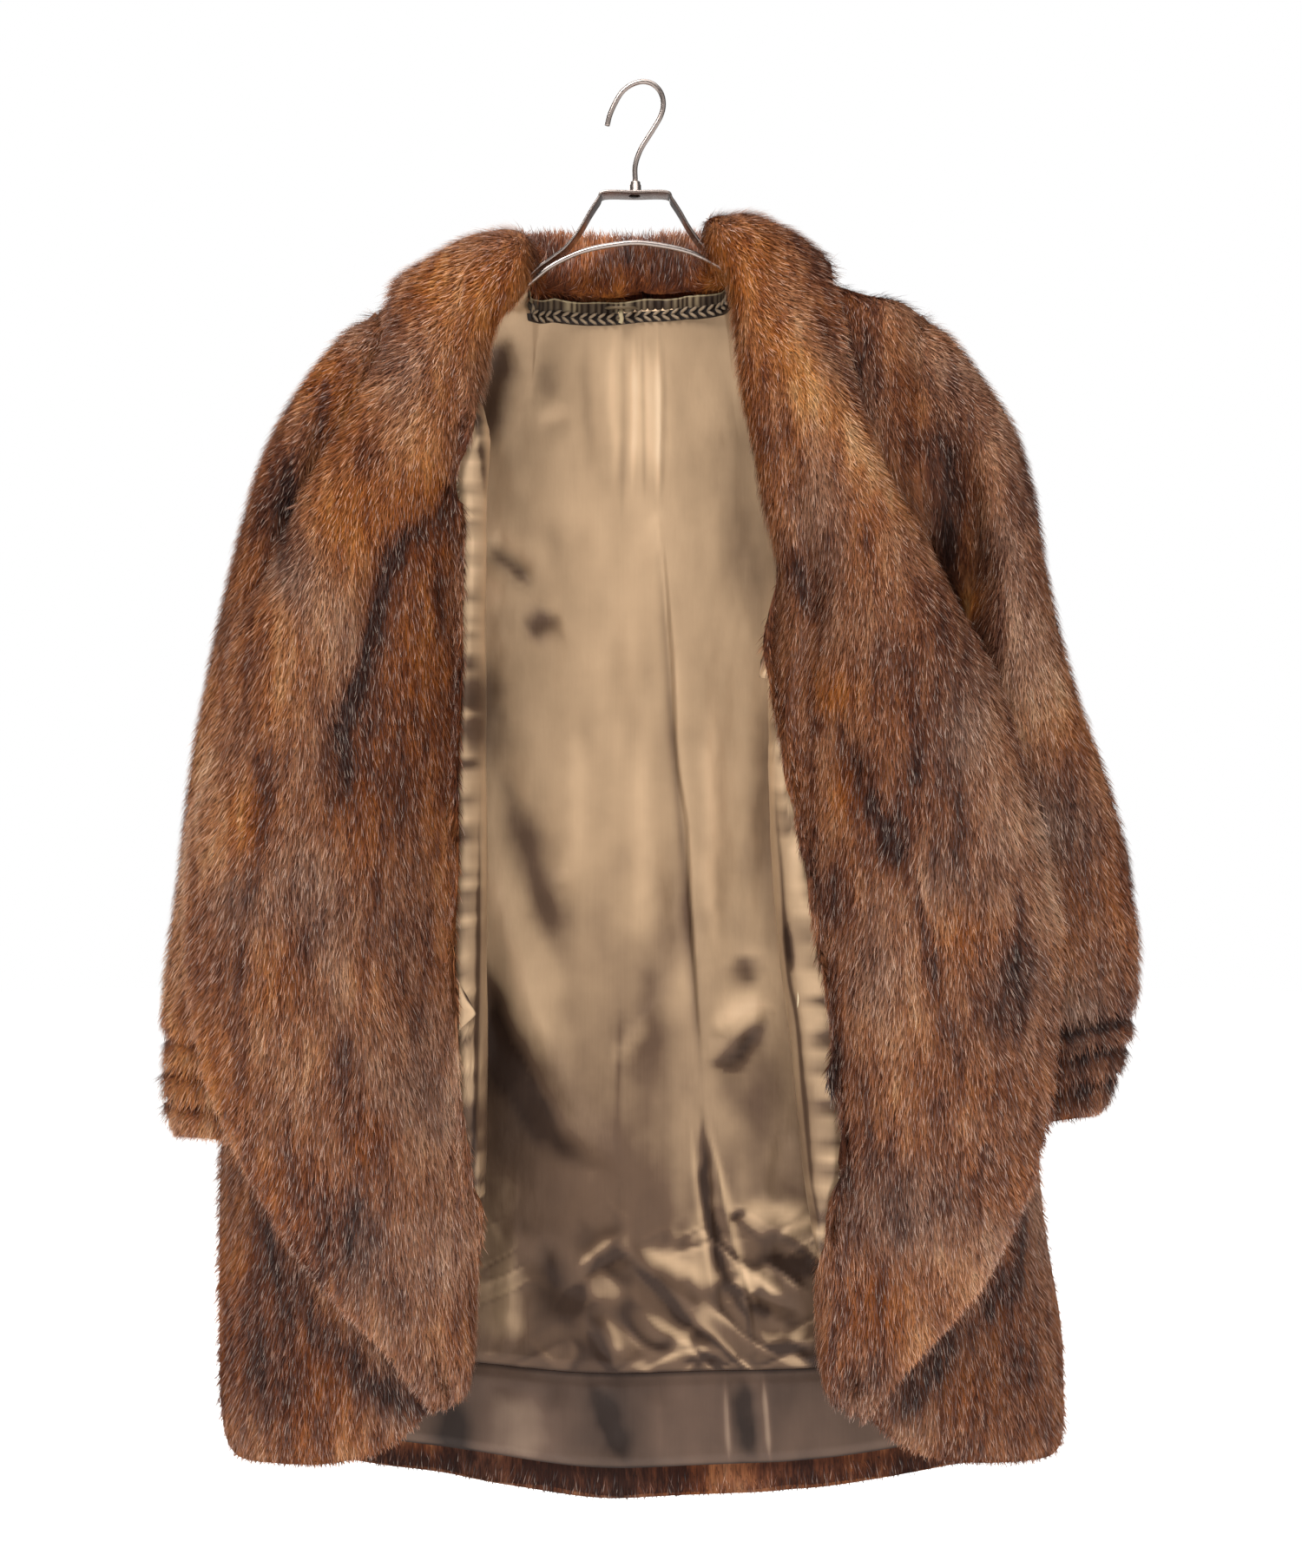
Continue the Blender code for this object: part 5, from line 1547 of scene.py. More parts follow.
# painted light and shade of the hem band's folds and sheen: path (x, z), tone, width on its left and right
BAND_SHADES = strokes(
    (((-150, -985), (-148, -1015), (-152, -1048)), -0.7, 14, 16),
    (((-90, -985), (-92, -1015), (-86, -1048)), 0.45, 22, 26),
    (((-44, -976), (-30, -1008), (-12, -1048)), -0.55, 7, 10),
    (((10, -985), (12, -1015), (12, -1045)), 0.15, 9, 3),
    (((63, -978), (65, -1015), (67, -1048)), 0.6, 3, 2),
    (((76, -976), (80, -1010), (86, -1048)), -0.75, 9, 7),
    (((92, -976), (95, -1010), (98, -1048)), 0.7, 2.5, 2.5),
    (((120, -985), (122, -1015), (124, -1045)), 0.15, 10, 10),
)
# painted shade along the lines where the front lining folds back along the facing, and in the valley beside
# them
LEFT_SHADES = strokes(
    (((-127, -425), (-126, -470), (-127, -520)), -0.8, 6, 22),
    (((-121, -236), (-120, -275), (-117, -322)), -0.9, 1.6, 3),
    (((-134.5, -410), (-134, -459), (-136, -506), (-139, -563)), -0.9, 1.5, 2.5),
    (((-121.5, -523), (-122, -582), (-123.5, -680), (-125.5, -805), (-125.5, -900)), -1.0, 1.4, 1.4),
    (((-142, -640), (-146, -665), (-150, -690)), -1.4, 4, 5),
    (((-134, -700), (-136, -780), (-136, -880)), -0.5, 3, 5),
)
# painted shade along the right front lining's fold line, with a painted highlight beside it
RIGHT_SHADES = strokes(
    (((100, -499), (100, -545), (103, -582), (108, -659), (115, -702), (125, -806), (131, -848), (133, -885)),
           -0.75, 1.1, 1.6),
    (((110, -520), (113, -580), (118, -625)), 0.4, 4, 4),
    (((106, -622), (109, -645), (111, -664)), -1.2, 2.2, 2.2),
)


@dataclass
class Lining:
    """One piece of the loose satin lining, as a thin shell that hangs off the leather.

    Attributes:
        node: Solid that the piece replaces.
        backing: Solids of the leather behind it.
        flat: Width and length of its cut, in metres; not used.
        rests_on: What carries the piece; not used.
        levels: Levels of subdivision.
        folds: Folds, listed as they hang.
        shades: Painted light and shade of the satin's sheen and folds.
        ruffle: Height of the small ruffles where it is sewn to the facing, in metres.
        windows: Parts cut finer for crisp folds, as lowest X, highest X, lowest Z and highest Z.
        area: Flat area of its cut where that isn't a rectangle, in square metres; not used.
    """

    node: str
    backing: tuple[str, ...]
    flat: tuple[float, float]
    rests_on: tuple[str, ...]
    levels: int
    folds: tuple[Stroke, ...] = ()
    shades: tuple[Stroke, ...] = ()
    ruffle: float = 0.0
    windows: tuple[tuple[float, float, float, float], ...] = ()
    area: float | None = None

    EASE = 9 * MM  # folds die out this near to a seam
    REST = 3.0 * MM  # the cloth lies this far out on average
    CRUMPLES = ((0.75, 0.019, 0.050, 0.75), (-0.5, 0.013, 0.036, 0.5))  # lean, width, length and strength
    # painted light and shade by height: lighter near the top, darker towards the bottom; heights in metres
    # and their tones
    SHADE_BY_HEIGHT = (
        (-1.1, -0.98, -0.90, -0.80, -0.70, -0.55, -0.30, -0.10),
        (-0.62, -0.80, -0.68, -0.44, -0.18, 0.0, 0.12, 0.18),
    )

    def cage(self, frame: dict) -> bpy.types.Object:
        """Copy the side of the solid that looks into the coat, as quads."""
        work = wall_copy(frame, (self.node,))
        kept = set(far_side(wall_sides(work), tree_of(*(frame["nodes"][name] for name in self.backing))))
        bmesh.ops.delete(work, geom=[face for face in work.faces if face not in kept], context="FACES")
        join_quads(work)
        return object_of(work, f"{self.node}_satin")

    def refine(self, thing: bpy.types.Object) -> None:
        """Cut the parts of the mesh that show crisp folds once more."""
        work = bmesh.new()
        work.from_mesh(thing.data)

        def shown(place: Vector) -> bool:
            return any(a < place.x < b and c < place.z < d for a, b, c, d in self.windows)

        edges = [edge for edge in work.edges if all(shown(vertex.co) for vertex in edge.verts)]
        bmesh.ops.subdivide_edges(work, edges=edges, cuts=1, use_grid_fill=True)
        work.to_mesh(thing.data)
        work.free()

    def crumples(self, places: np.ndarray) -> tuple[np.ndarray, np.ndarray]:
        """Small sharp creases where the cloth is bunched above the hem, painted light on one side and painted
        shade on the other.

        Args:
            places: Points of the cloth, in metres.

        Returns:
            Painted light and shade, and height, of the creases at each point.
        """
        tone, height = np.zeros(len(places)), np.zeros(len(places))
        if not self.windows:
            return tone, height
        bunched = smoothstep(-0.83, -0.89, places[:, 2]) * (
            0.45 + 0.55 * smoothstep(-0.06, 0.02, places[:, 0])
        )
        for number, (lean, width, length, share) in enumerate(self.CRUMPLES):
            along = math.cos(lean) * places[:, 0] - math.sin(lean) * places[:, 2]
            aside = math.sin(lean) * places[:, 0] + math.cos(lean) * places[:, 2]
            turned = np.stack([along, places[:, 1] * 0.3, aside], axis=1)
            field_ = value_noise(turned, (length, 0.06, width), SEED + 90 + number) / 0.20
            gate = smoothstep(-0.25, 0.35, value_noise(places, (0.04, 0.05, 0.035), SEED + 95 + number))
            edge = np.exp(-(field_**2)) * gate * bunched * share
            # painted light on one side of each crease and painted shade on the other
            tone += 1.5 * field_ * edge
            height += 1.3 * MM * edge
        return tone, height

    @staticmethod
    def rim(mesh: bpy.types.Mesh) -> np.ndarray:
        """Numbers of the vertices on the mesh's open border."""
        work = bmesh.new()
        work.from_mesh(mesh)
        found = [vertex.index for vertex in work.verts if vertex.is_boundary]
        work.free()
        return np.array(found)

    def build(self, frame: dict, material: bpy.types.Material) -> bpy.types.Object:
        """Round the cloth and lay its folds, ruffles and small wrinkles.

        Args:
            frame: The loaded frame.
            material: Satin of the piece.

        Returns:
            The piece.
        """
        cloth = rounded(self.cage(frame), self.levels)
        if self.windows:
            self.refine(cloth)
        mesh = cloth.data
        places, facing = positions(mesh), normals(mesh)
        border = self.rim(mesh)
        finder = KDTree(len(border))
        for k in border:
            finder.insert(places[k], int(k))
        finder.balance()
        inset = np.array([finder.find(place)[2] for place in places])
        ruffle = np.zeros(len(places))
        if self.ruffle:
            near = np.exp(-((inset / (17 * MM)) ** 2))
            ruffle += near * value_noise(places, (0.06, 0.06, 0.0095), SEED + 63)
            ruffle += 0.5 * near * value_noise(places, (0.04, 0.04, 0.005), SEED + 64)
        height = MM * drawn(self.folds, places, 2.5 * MM) + self.ruffle * ruffle
        height += 0.8 * MM * value_noise(places, (0.028, 0.028, 0.16), SEED + 60)
        height += 0.5 * MM * value_noise(places, (0.014, 0.014, 0.05), SEED + 61)
        height += 0.22 * MM * value_noise(places, (0.006, 0.006, 0.018), SEED + 62)
        # painted light and shade: the strokes, lighter at the top and darker towards the bottom, light on the
        # ruffles' crests and shade in their hollows
        tone = 0.85 * drawn(self.shades, places, 3.5 * MM) + np.interp(places[:, 2],
            *self.SHADE_BY_HEIGHT) + 0.85 * ruffle
        tone += 0.22 * value_noise(places, (0.05, 0.05, 0.22), SEED + 65)
        tone += 0.10 * value_noise(places, (0.012, 0.012, 0.05), SEED + 66)
        # painted shade along the cloth's open edges, where it meets the fur
        tone -= 0.5 * np.exp(-((inset / (1.4 * MM)) ** 2))
        crumple, crest = self.crumples(places)
        tone += crumple
        height += crest
        store(mesh, "tone", np.clip(tone, -1.25, 1.25))
        ease = smoothstep(0.0, self.EASE, inset)
        height = np.maximum(height + self.REST, -0.6 * MM) * ease
        move_to(mesh, settled_neck(places + facing * height[:, None]))
        mesh.materials.clear()
        mesh.materials.append(material)
        mesh.polygons.foreach_set("use_smooth", [True] * len(mesh.polygons))
        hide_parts(self.node)
        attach(cloth, BODY)
        size = sum(face.area for face in mesh.polygons)
        LOG.info("%s: %.3f m2, %d triangles", cloth.name, size, triangles(cloth))
        return cloth


LININGS = (
    Lining(
        "lining_back",
        ("back",),
        (0.62, 0.86),
        ("back_fur",),
        3,
        BACK_FOLDS,
        BACK_SHADES,
        windows=((-0.13, 0.135, -0.99, -0.83), (-0.03, 0.02, -0.32, -0.15), (0.0, 0.062, -0.84, -0.31)),
        area=0.48,
    ),
    Lining("hem_band", ("back",), (0.50, 0.095), ("back_fur",), 4, BAND_FOLDS, BAND_SHADES),
    Lining(
        "lining_front_left",
        ("front_left", "flap_left"),
        (0.33, 0.86),
        ("front_left_fur",),
        3,
        shades=LEFT_SHADES,
        ruffle=2.2 * MM,
        area=0.18,
    ),
    Lining(
        "lining_front_right",
        ("front_right", "flap_right"),
        (0.33, 0.86),
        ("front_right_fur",),
        3,
        shades=RIGHT_SHADES,
        ruffle=2.2 * MM,
        area=0.18,
    ),
)


# --- sewn trims -------------------------------------------------------------------------
@dataclass(frozen=True)
class BraidCord:
    """Viscose braid: twisted floss, painted light on its raised strands and painted shade in the gaps between
    them.
    """

    dark: str = "#33281F"
    light: str = "#917A5E"

    def material(self) -> bpy.types.Material:
        """Braid whose strands are painted light where they stand out and painted shade between them."""
        made, tree = new_material("viscose_braid")
        high = add_node(tree, "ShaderNodeAttribute", attribute_name="high", attribute_type="GEOMETRY")
        place = add_node(tree, "ShaderNodeTexCoord").outputs["Object"]
        # yarns 0.6 mm wide
        yarn = add_node(tree, "ShaderNodeTexNoise", {"Vector": place, "Scale": 1600.0, "Detail": 1.0})
        level = add_node(
            tree, "ShaderNodeMath", {0: yarn.outputs["Fac"], 1: 0.5,
                2: high.outputs["Fac"]}, operation="MULTIPLY_ADD"
        )
        ramp = add_node(
            tree, "ShaderNodeValToRGB", {"Fac": level}, stops=[
                (0.45, self.dark), (1.0, self.light),
            ]
        )
        bump = add_node(
            tree, "ShaderNodeBump", {"Height": yarn.outputs["Fac"], "Strength": 0.5, "Distance": 0.0003},
        )
        values = {
            "Base Color": ramp.outputs["Color"],
            "Normal": bump,
            "Roughness": 0.45,
            "Sheen Weight": 0.2,
        }
        finish_with(tree, add_node(tree, "ShaderNodeBsdfPrincipled", values))
        return made


@dataclass(frozen=True)
class Link:
    """One repeat of a braid: two leaf-shaped strands that part from one point.

    Attributes:
        name: Name of the node tree.
        pitch: Distance between links, in metres.
        length: Length of a strand, in metres.
        width: Width of a strand, in metres.
        splay: Angle of each strand to the braid, in degrees.
        apart: Distance of each strand from the braid's middle, in metres.
    """

    name: str
    pitch: float
    length: float
    width: float
    splay: float
    apart: float

    def tree(self) -> bpy.types.NodeTree:
        """Build the node tree that lays the links along a path."""
        sizes = dict.fromkeys(("Pitch", "Length", "Width", "Splay", "Apart"), "Float")
        tree, given = new_group(self.name, "Path", {**sizes, "Material": "Material"}, "Braid")
        ball = add_node(tree, "GeometryNodeMeshUVSphere", {"Segments": 6, "Rings": 5, "Radius": 0.5})
        spot = add_node(tree, "ShaderNodeSeparateXYZ", {0: add_node(tree, "GeometryNodeInputPosition")})
        # height on each strand, which the braid's material turns into painted light on top and painted shade
        # below
        height = {"Value": spot.outputs["Z"], "From Min": -0.1, "From Max": 0.5}
        kept = {"Geometry": ball, "Name": "high", "Value": add_node(tree, "ShaderNodeMapRange", height)}
        ball = add_node(tree, "GeometryNodeStoreNamedAttribute", kept, data_type="FLOAT", domain="POINT")
        sides = {"X": given["Length"], "Y": given["Width"], "Z": given["Width"]}
        size = add_node(tree, "ShaderNodeCombineXYZ", sides)
        link = add_node(tree, "GeometryNodeJoinGeometry")
        for sign in (1.0, -1.0):
            turn, away = (
                add_node(tree, "ShaderNodeMath", {0: given[label], 1: sign}, operation="MULTIPLY")
                for label in ("Splay", "Apart")
            )
            placed = {
                "Geometry": ball,
                "Translation": add_node(tree, "ShaderNodeCombineXYZ", {"Y": away}),
                "Rotation": add_node(tree, "ShaderNodeCombineXYZ", {"Z": turn}),
                "Scale": size,
            }
            tree.links.new(add_node(tree, "GeometryNodeTransform", placed).outputs[0], link.inputs[0])
        line = add_node(tree, "GeometryNodeMeshToCurve", {"Mesh": given["Path"]})
        spots = add_node(
            tree, "GeometryNodeCurveToPoints", {"Curve": line, "Length": given["Pitch"]}, mode="LENGTH",
        )
        out = add_node(tree, "GeometryNodeInputNamedAttribute", {"Name": "out"}, data_type="FLOAT_VECTOR")
        axes = {"Primary Axis": out, "Secondary Axis": spots.outputs["Tangent"]}
        turn = add_node(tree, "FunctionNodeAxesToRotation", axes, primary_axis="Z", secondary_axis="X")
        laid = add_node(
            tree, "GeometryNodeInstanceOnPoints", {"Points": spots, "Instance": link, "Rotation": turn},
        )
        real = add_node(tree, "GeometryNodeRealizeInstances", {"Geometry": laid})
        smooth = add_node(tree, "GeometryNodeSetShadeSmooth", {"Geometry": real})
        dressed = add_node(
            tree, "GeometryNodeSetMaterial", {"Geometry": smooth, "Material": given["Material"]},
        )
        add_node(tree, "NodeGroupOutput", {0: dressed})
        return tree

    def lay(
        self, name: str, path: np.ndarray, out: np.ndarray, material: bpy.types.Material
    ) -> bpy.types.Object:
        """Lay the links along a path.

        Args:
            name: Name of the new piece.
            path: Points of the path, in metres.
            out: Direction away from the cloth at each point.
            material: Material of the braid.

        Returns:
            The braid as one plain mesh object.
        """
        mesh = bpy.data.meshes.new(name)
        edges = [(k, k + 1) for k in range(len(path) - 1)]
        mesh.from_pydata([tuple(map(float, point)) for point in path], edges, [])
        store(mesh, "out", out)
        values = {
            "Pitch": self.pitch,
            "Length": self.length,
            "Width": self.width,
            "Splay": math.radians(self.splay),
            "Apart": self.apart,
            "Material": material,
        }
        tree = bpy.data.node_groups.get(self.name) or self.tree()
        return grow_on(in_scene(name, mesh), tree, values)


def even_path(points: np.ndarray, step: float) -> np.ndarray:
    """Points at even distances of about `step` along a polyline."""
    along = np.concatenate([[0.0], np.cumsum(np.linalg.norm(np.diff(points, axis=0), axis=1))])
    where = np.linspace(0, along[-1], max(2, round(along[-1] / step) + 1))
    return np.stack([np.interp(where, along, points[:, axis]) for axis in range(3)], axis=1)


@dataclass
class NeckTrims:
    """Ruched band, chevron braid and hanging loop at the back of the neck."""

    band_top: float = 1.0
    band_foot: float = 10.5
    pleat: float = 5.2
    braid_middle: float = 14.0
    loop_x: float = -17.0

    def along(self, drop: float, out: float, step: float) -> tuple[np.ndarray, np.ndarray]:
        """A line under the neckline.

        Args:
            drop: Distance below the neckline, in mm.
            out: Distance in front of it, in mm.
            step: Distance between points, in mm.

        Returns:
            The line's points and the directions away from the cloth.
        """
        line = settled_neck(smooth_curve(NECKLINE, 10) * MM)
        line = even_path(line, step * MM)
        keep = slice(round(0.07 * len(line)), round(0.92 * len(line)))
        way = np.gradient(line, axis=0)[keep]
        facing = unit(np.stack([way[:, 1], -way[:, 0], 0 * way[:, 0]], axis=1))
        points = line[keep] + facing * out * MM - np.array([0, 0, drop * MM])
        return points, facing

    def band(self, satin: bpy.types.Material) -> bpy.types.Object:
        """Satin gathered into upright pleats, with a corded upper edge."""
        base, facing = self.along(0.0, 3.4, 0.45)
        span = np.cumsum(np.concatenate([[0], np.linalg.norm(np.diff(base, axis=0), axis=1)])) / MM
        sway = 1.6 * np.sin(span / 11.0) + 1.1 * np.sin(span / 4.3 + 1.0) + 0.6 * np.sin(span / 2.6)
        phase = (span + sway) / self.pleat
        ridge = np.abs(np.sin(math.pi * phase)) ** 0.45
        # the band's back edges against the lining are painted dark as shade
        rows, tones = [], [np.full(len(span), -1.0)]
        for share in np.linspace(0, 1, 13):
            drop = self.band_foot + (self.band_top - self.band_foot) * share
            cord = math.exp(-(((share - 0.93) / 0.055) ** 2))
            swell = 0.5 + 1.9 * ridge * math.sin(math.pi * min(max(share, 0.06), 0.9)) ** 0.35
            height = swell * (1 - cord) + cord * (2.2 + 0.35 * np.sin(span / 1.6))
            wave = 0.5 * np.sin(span / 6.0) * share
            # the pleat ridges are painted light and their valleys painted dark as shade, unevenly along the
            # band; the corded edge is lighter
            uneven_ridge_light = 0.35 * np.sin(span / 7.3 + 2.0) + 0.25 * np.sin(span / 3.1)
            tones.append((1.1 * ridge - 0.95 + uneven_ridge_light * ridge) * (1 - cord) + 1.1 * cord)
            rows.append(base + facing * (height * MM)[:, None] - np.stack(
                [0 * span, 0 * span, (drop + wave) * MM], 1,
            ))
        grid = np.array(rows)
        back = base + facing * 0.2 * MM
        foot, top = (back - np.array([0, 0, drop * MM]) for drop in (self.band_foot, self.band_top))
        grid = np.concatenate([[foot], grid, [top]])
        band = grid_object("neck_ruched_band", grid)
        tone = np.array(tones + [np.full(grid.shape[1], -1.0)]).ravel()
        store(band.data, "tone", tone)
        band.data.materials.append(satin)
        return band

    def loop(self, satin: bpy.types.Material) -> list[bpy.types.Object]:
        """Folded satin loop for a wall peg, and the frayed end of its strip."""
        turns = np.linspace(-0.08, 1.08, 22) * math.pi
        middle = np.stack(
            [self.loop_x - 10 * np.cos(turns), 36 - 8 * np.sin(turns),
                -160.5 - 1.2 * np.sin(turns) + 0 * turns], 1
        )
        ring = np.linspace(0, 2 * math.pi, 10, endpoint=False)
        outline = np.stack([1.0 * np.cos(ring), 2.7 * np.sin(ring)], axis=1)
        loop = sweep("neck_hanging_loop", middle * MM, outline * MM, (0.0, 0.0, 1.0))
        tail_path = np.array([(-17, 30.5, -163), (-17, 29.5, -167), (-16.5, 30.2, -170), (-17.6, 31.0, -173)])
        ring = np.linspace(0, 2 * math.pi, 8, endpoint=False)
        shape = np.stack([1.7 * np.cos(ring), 0.5 * np.sin(ring)], axis=1)
        tail = sweep("neck_loop_end", smooth_curve(tail_path, 4) * MM, shape * MM, (1.0, 0.0, 0.0))
        for piece, tone in ((loop, 0.3), (tail, 1.0)):
            store(piece.data, "tone", np.full(len(piece.data.vertices), tone))
            piece.data.materials.append(satin)
        return [loop, tail]

    def ground(self, satin: bpy.types.Material) -> bpy.types.Object:
        """Dark ribbon that the chevron braid is sewn on."""
        base, facing = self.along(0.0, 5.0, 1.5)
        rows = [
            base + facing * bulge * MM - np.array([0, 0, drop * MM])
            for drop, bulge in ((18.6, -2.2), (18.4, 0.4), (16.5, 1.1), (13.5, 1.2), (10.6, 0.8), (9.4, -1.0))
        ]
        grid = np.array(rows)
        ribbon = grid_object("neck_braid_ground", grid)
        store(ribbon.data, "tone", np.full(len(ribbon.data.vertices), -0.85))
        ribbon.data.materials.append(satin)
        return ribbon

    def build(self, satin: bpy.types.Material, braid: bpy.types.Material) -> None:
        """Sew all trims of the neck.

        Args:
            satin: Material of the band and the loop.
            braid: Material of the braid.
        """
        band = self.band(satin)
        path, facing = self.along(self.braid_middle, 6.9, 2.0)
        chevrons = Link("chevron_braid", 6.8 * MM, 9.0 * MM, 2.8 * MM, 32.0, 2.2 * MM)
        laid = chevrons.lay("neck_chevron_braid", path, facing, braid)
        loop, tail = self.loop(satin)
        ribbon = self.ground(satin)
        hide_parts("neck_band")
        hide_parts("neck_braid")
        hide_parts("hanger_loop")
        for piece, slot in (
            (band, "satin_ruched"),
            (ribbon, "braid"),
            (laid, "braid"),
            (loop, "braid"),
            (tail, "braid"),
        ):
            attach(piece, BODY)
            LOG.info("%s: %d triangles", piece.name, triangles(piece))


@dataclass
class FacingBraid:
    """Braid that covers the seam between one facing and its lining.

    Attributes:
        side: "left" or "right".
        loops: Lowest and highest height of the stretch with open loops, in metres.
    """

    side: str
    loops: tuple[float, float] | None

    def path(self, cloth: bpy.types.Object, shawl: bpy.types.Object) -> tuple[np.ndarray, np.ndarray]:
        """Follow the lining's border next to the facing.

        Args:
            cloth: The front lining.
            shawl: The skin of the shawl.

        Returns:
            Points from hem to shoulder, and the directions away from the cloth.
        """
        mesh = cloth.data
        places, facing = positions(mesh), normals(mesh)
        tree = tree_of(shawl)
        border = [k for k in Lining.rim(mesh) if tree.find_nearest(places[k])[3] < 9 * MM]
        border.sort(key=lambda k: places[k, 2])
        line, out = places[border], facing[border]
        level = np.arange(line[0, 2], line[-1, 2], 6 * MM)
        points = np.stack([np.interp(level, line[:, 2], line[:, axis]) for axis in range(3)], axis=1)
        away = unit(np.stack([np.interp(level, line[:, 2], out[:, axis]) for axis in range(3)], axis=1))
        kernel = np.array([1, 2, 3, 2, 1]) / 9
        for axis in range(3):
            points[2:-2, axis] = np.convolve(points[:, axis], kernel, "valid")
            away[2:-2, axis] = np.convolve(away[:, axis], kernel, "valid")
        return points + unit(away) * 2.0 * MM, unit(away)

    def build(self, cloth: bpy.types.Object, shawl: bpy.types.Object, material: bpy.types.Material) -> None:
        """Sew the braid: open loops where it is loose, small ticks elsewhere."""
        points, away = self.path(cloth, shawl)
        ticks = Link("tick_braid", 5.4 * MM, 3.6 * MM, 1.5 * MM, 40.0, 0.9 * MM)
        open_loops = Link("loop_braid", 6.6 * MM, 7.2 * MM, 1.9 * MM, 28.0, 1.7 * MM)
        runs = [(ticks, -2.0, 0.0)]
        if self.loops:
            low, high = self.loops
            runs = [(ticks, -2.0, low), (open_loops, low, high), (ticks, high, 0.0)]
        for number, (link, low, high) in enumerate(runs):
            kept = (points[:, 2] >= low) & (points[:, 2] <= high)
            if kept.sum() < 3:
                continue
            piece = link.lay(f"facing_braid_{self.side}_{number + 1}", points[kept], away[kept], material)
            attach(piece, BODY)
            LOG.info("%s: %d triangles", piece.name, triangles(piece))


def sewn_tabs(frame: dict, satin: bpy.types.Material) -> None:
    """Folded satin tabs that stand out from the fronts, and the thread loop under one.

    Args:
        frame: The loaded frame.
        satin: Material of the tabs.
    """
    outlines = {
        "tab_right": ((97, 4, -408), (88, 4, -432), (87, 4, -444), (98, 4, -446)),
        "tab_left": ((-134, -57, -667), (-127, -53, -680), (-121, -49, -692), (-134, -57, -703)),
    }
    for name, corners in outlines.items():
        a, b, c, d = (np.array(corner, float) for corner in corners)
        across = np.cross(c - a, d - b)
        out = across / np.linalg.norm(across)
        out = -out if out[1] > 0 else out
        grid = []
        for v in np.linspace(0, 1, 12):
            for u in np.linspace(0, 1, 9):
                place = (a * (1 - v) + d * v) * (1 - u) + (b * (1 - v) + c * v) * u
                roll = 1.1 * math.exp(-((u / 0.10) ** 2)) + 0.7 * math.exp(-(((1 - u) / 0.12) ** 2))
                hump = 1.0 * math.sin(math.pi * u) * math.sin(2.2 * math.pi * v + 0.6)
                grid.append(place + out * (roll + hump))
        faces = [
            (i * 9 + j, i * 9 + j + 1, i * 9 + j + 10, i * 9 + j + 9) for i in range(11) for j in range(8)
        ]
        tab = mesh_object(f"{name}_satin", np.array(grid) * MM, faces)
        shell = tab.modifiers.new("cloth", "SOLIDIFY")
        shell.thickness, shell.offset = 1.0 * MM, 0.0
        round_off = tab.modifiers.new("edge", "SUBSURF")
        round_off.levels = round_off.render_levels = 1
        settle(tab)
        # painted shade along the tab's outline
        shade = drawn((Stroke([(p[0], p[2]) for p in (a, b, c, d)], -1.5, 1.2, 1.2),), positions(tab.data))
        store(tab.data, "tone", 0.35 + shade)
        tab.data.materials.append(satin)
        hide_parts(name)
        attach(tab, BODY)
    cloth = tree_of(frame["nodes"]["lining_front_right"], frame["nodes"]["lining_back"])
    path = []
    for share in np.linspace(0, 1, 12):
        x, z = 0.112 + 0.0015 * math.sin(math.pi * share), -0.662 - 0.038 * share
        hit = cloth.ray_cast(Vector((x, -0.2, z)), Vector((0, 1, 0)), 0.5)[0]
        path.append((x, (hit.y if hit else 0.0) - 0.0018 - 0.002 * math.sin(math.pi * share), z))
    ring = np.linspace(0, 2 * math.pi, 8, endpoint=False)
    circle = 0.0009 * np.stack([np.cos(ring), np.sin(ring)], axis=1)
    thread = sweep("thread_loop", np.array(path), circle, (0.0, 1.0, 0.0))
    made, tree = new_material("cotton_thread")
    values = {"Base Color": linear("#D8C4A0"), "Roughness": 0.7}
    twist = add_node(tree, "ShaderNodeTexNoise", {"Scale": 900.0})
    values["Normal"] = add_node(
        tree, "ShaderNodeBump", {"Height": twist.outputs["Fac"], "Strength": 0.4, "Distance": 0.0003}
    ).outputs[0]
    finish_with(tree, add_node(tree, "ShaderNodeBsdfPrincipled", values))
    thread.data.materials.append(made)
    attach(thread, BODY)


# --- hanger -----------------------------------------------------------------------------
def sweep(
    name: str, path: np.ndarray, outline: np.ndarray, across: tuple[float, float, float]
) -> bpy.types.Object:
    """Sweep an outline along a path and close both ends.

    Args:
        name: Name of the new object.
        path: Points of the path, in metres.
        outline: Offsets across and up, one outline or one for each point of the path.
        across: Direction of the first offset.

    Returns:
        The closed mesh object.
    """
    way = unit(np.gradient(path, axis=0))
    side = np.asarray(across, float) - way * (way @ np.asarray(across, float))[:, None]
    side = unit(side)
    up = np.cross(way, side)
    shapes = np.broadcast_to(outline, (len(path), *np.shape(outline)[-2:]))
    points = path[:, None] + side[:, None] * shapes[..., :1] + up[:, None] * shapes[..., 1:]
    count = shapes.shape[1]
    faces = [
        (i * count + j, i * count + (j + 1) % count, (i + 1) * count + (j + 1) % count, (i + 1) * count + j)
        for i in range(len(path) - 1)
        for j in range(count)
    ]
    last = (len(path) - 1) * count
    faces += [tuple(range(count - 1, -1, -1)), tuple(range(last, last + count))]
    thing = mesh_object(name, points.reshape(-1, 3), faces)
    work = bmesh.new()
    work.from_mesh(thing.data)
    bmesh.ops.recalc_face_normals(work, faces=work.faces)
    work.to_mesh(thing.data)
    work.free()
    return thing


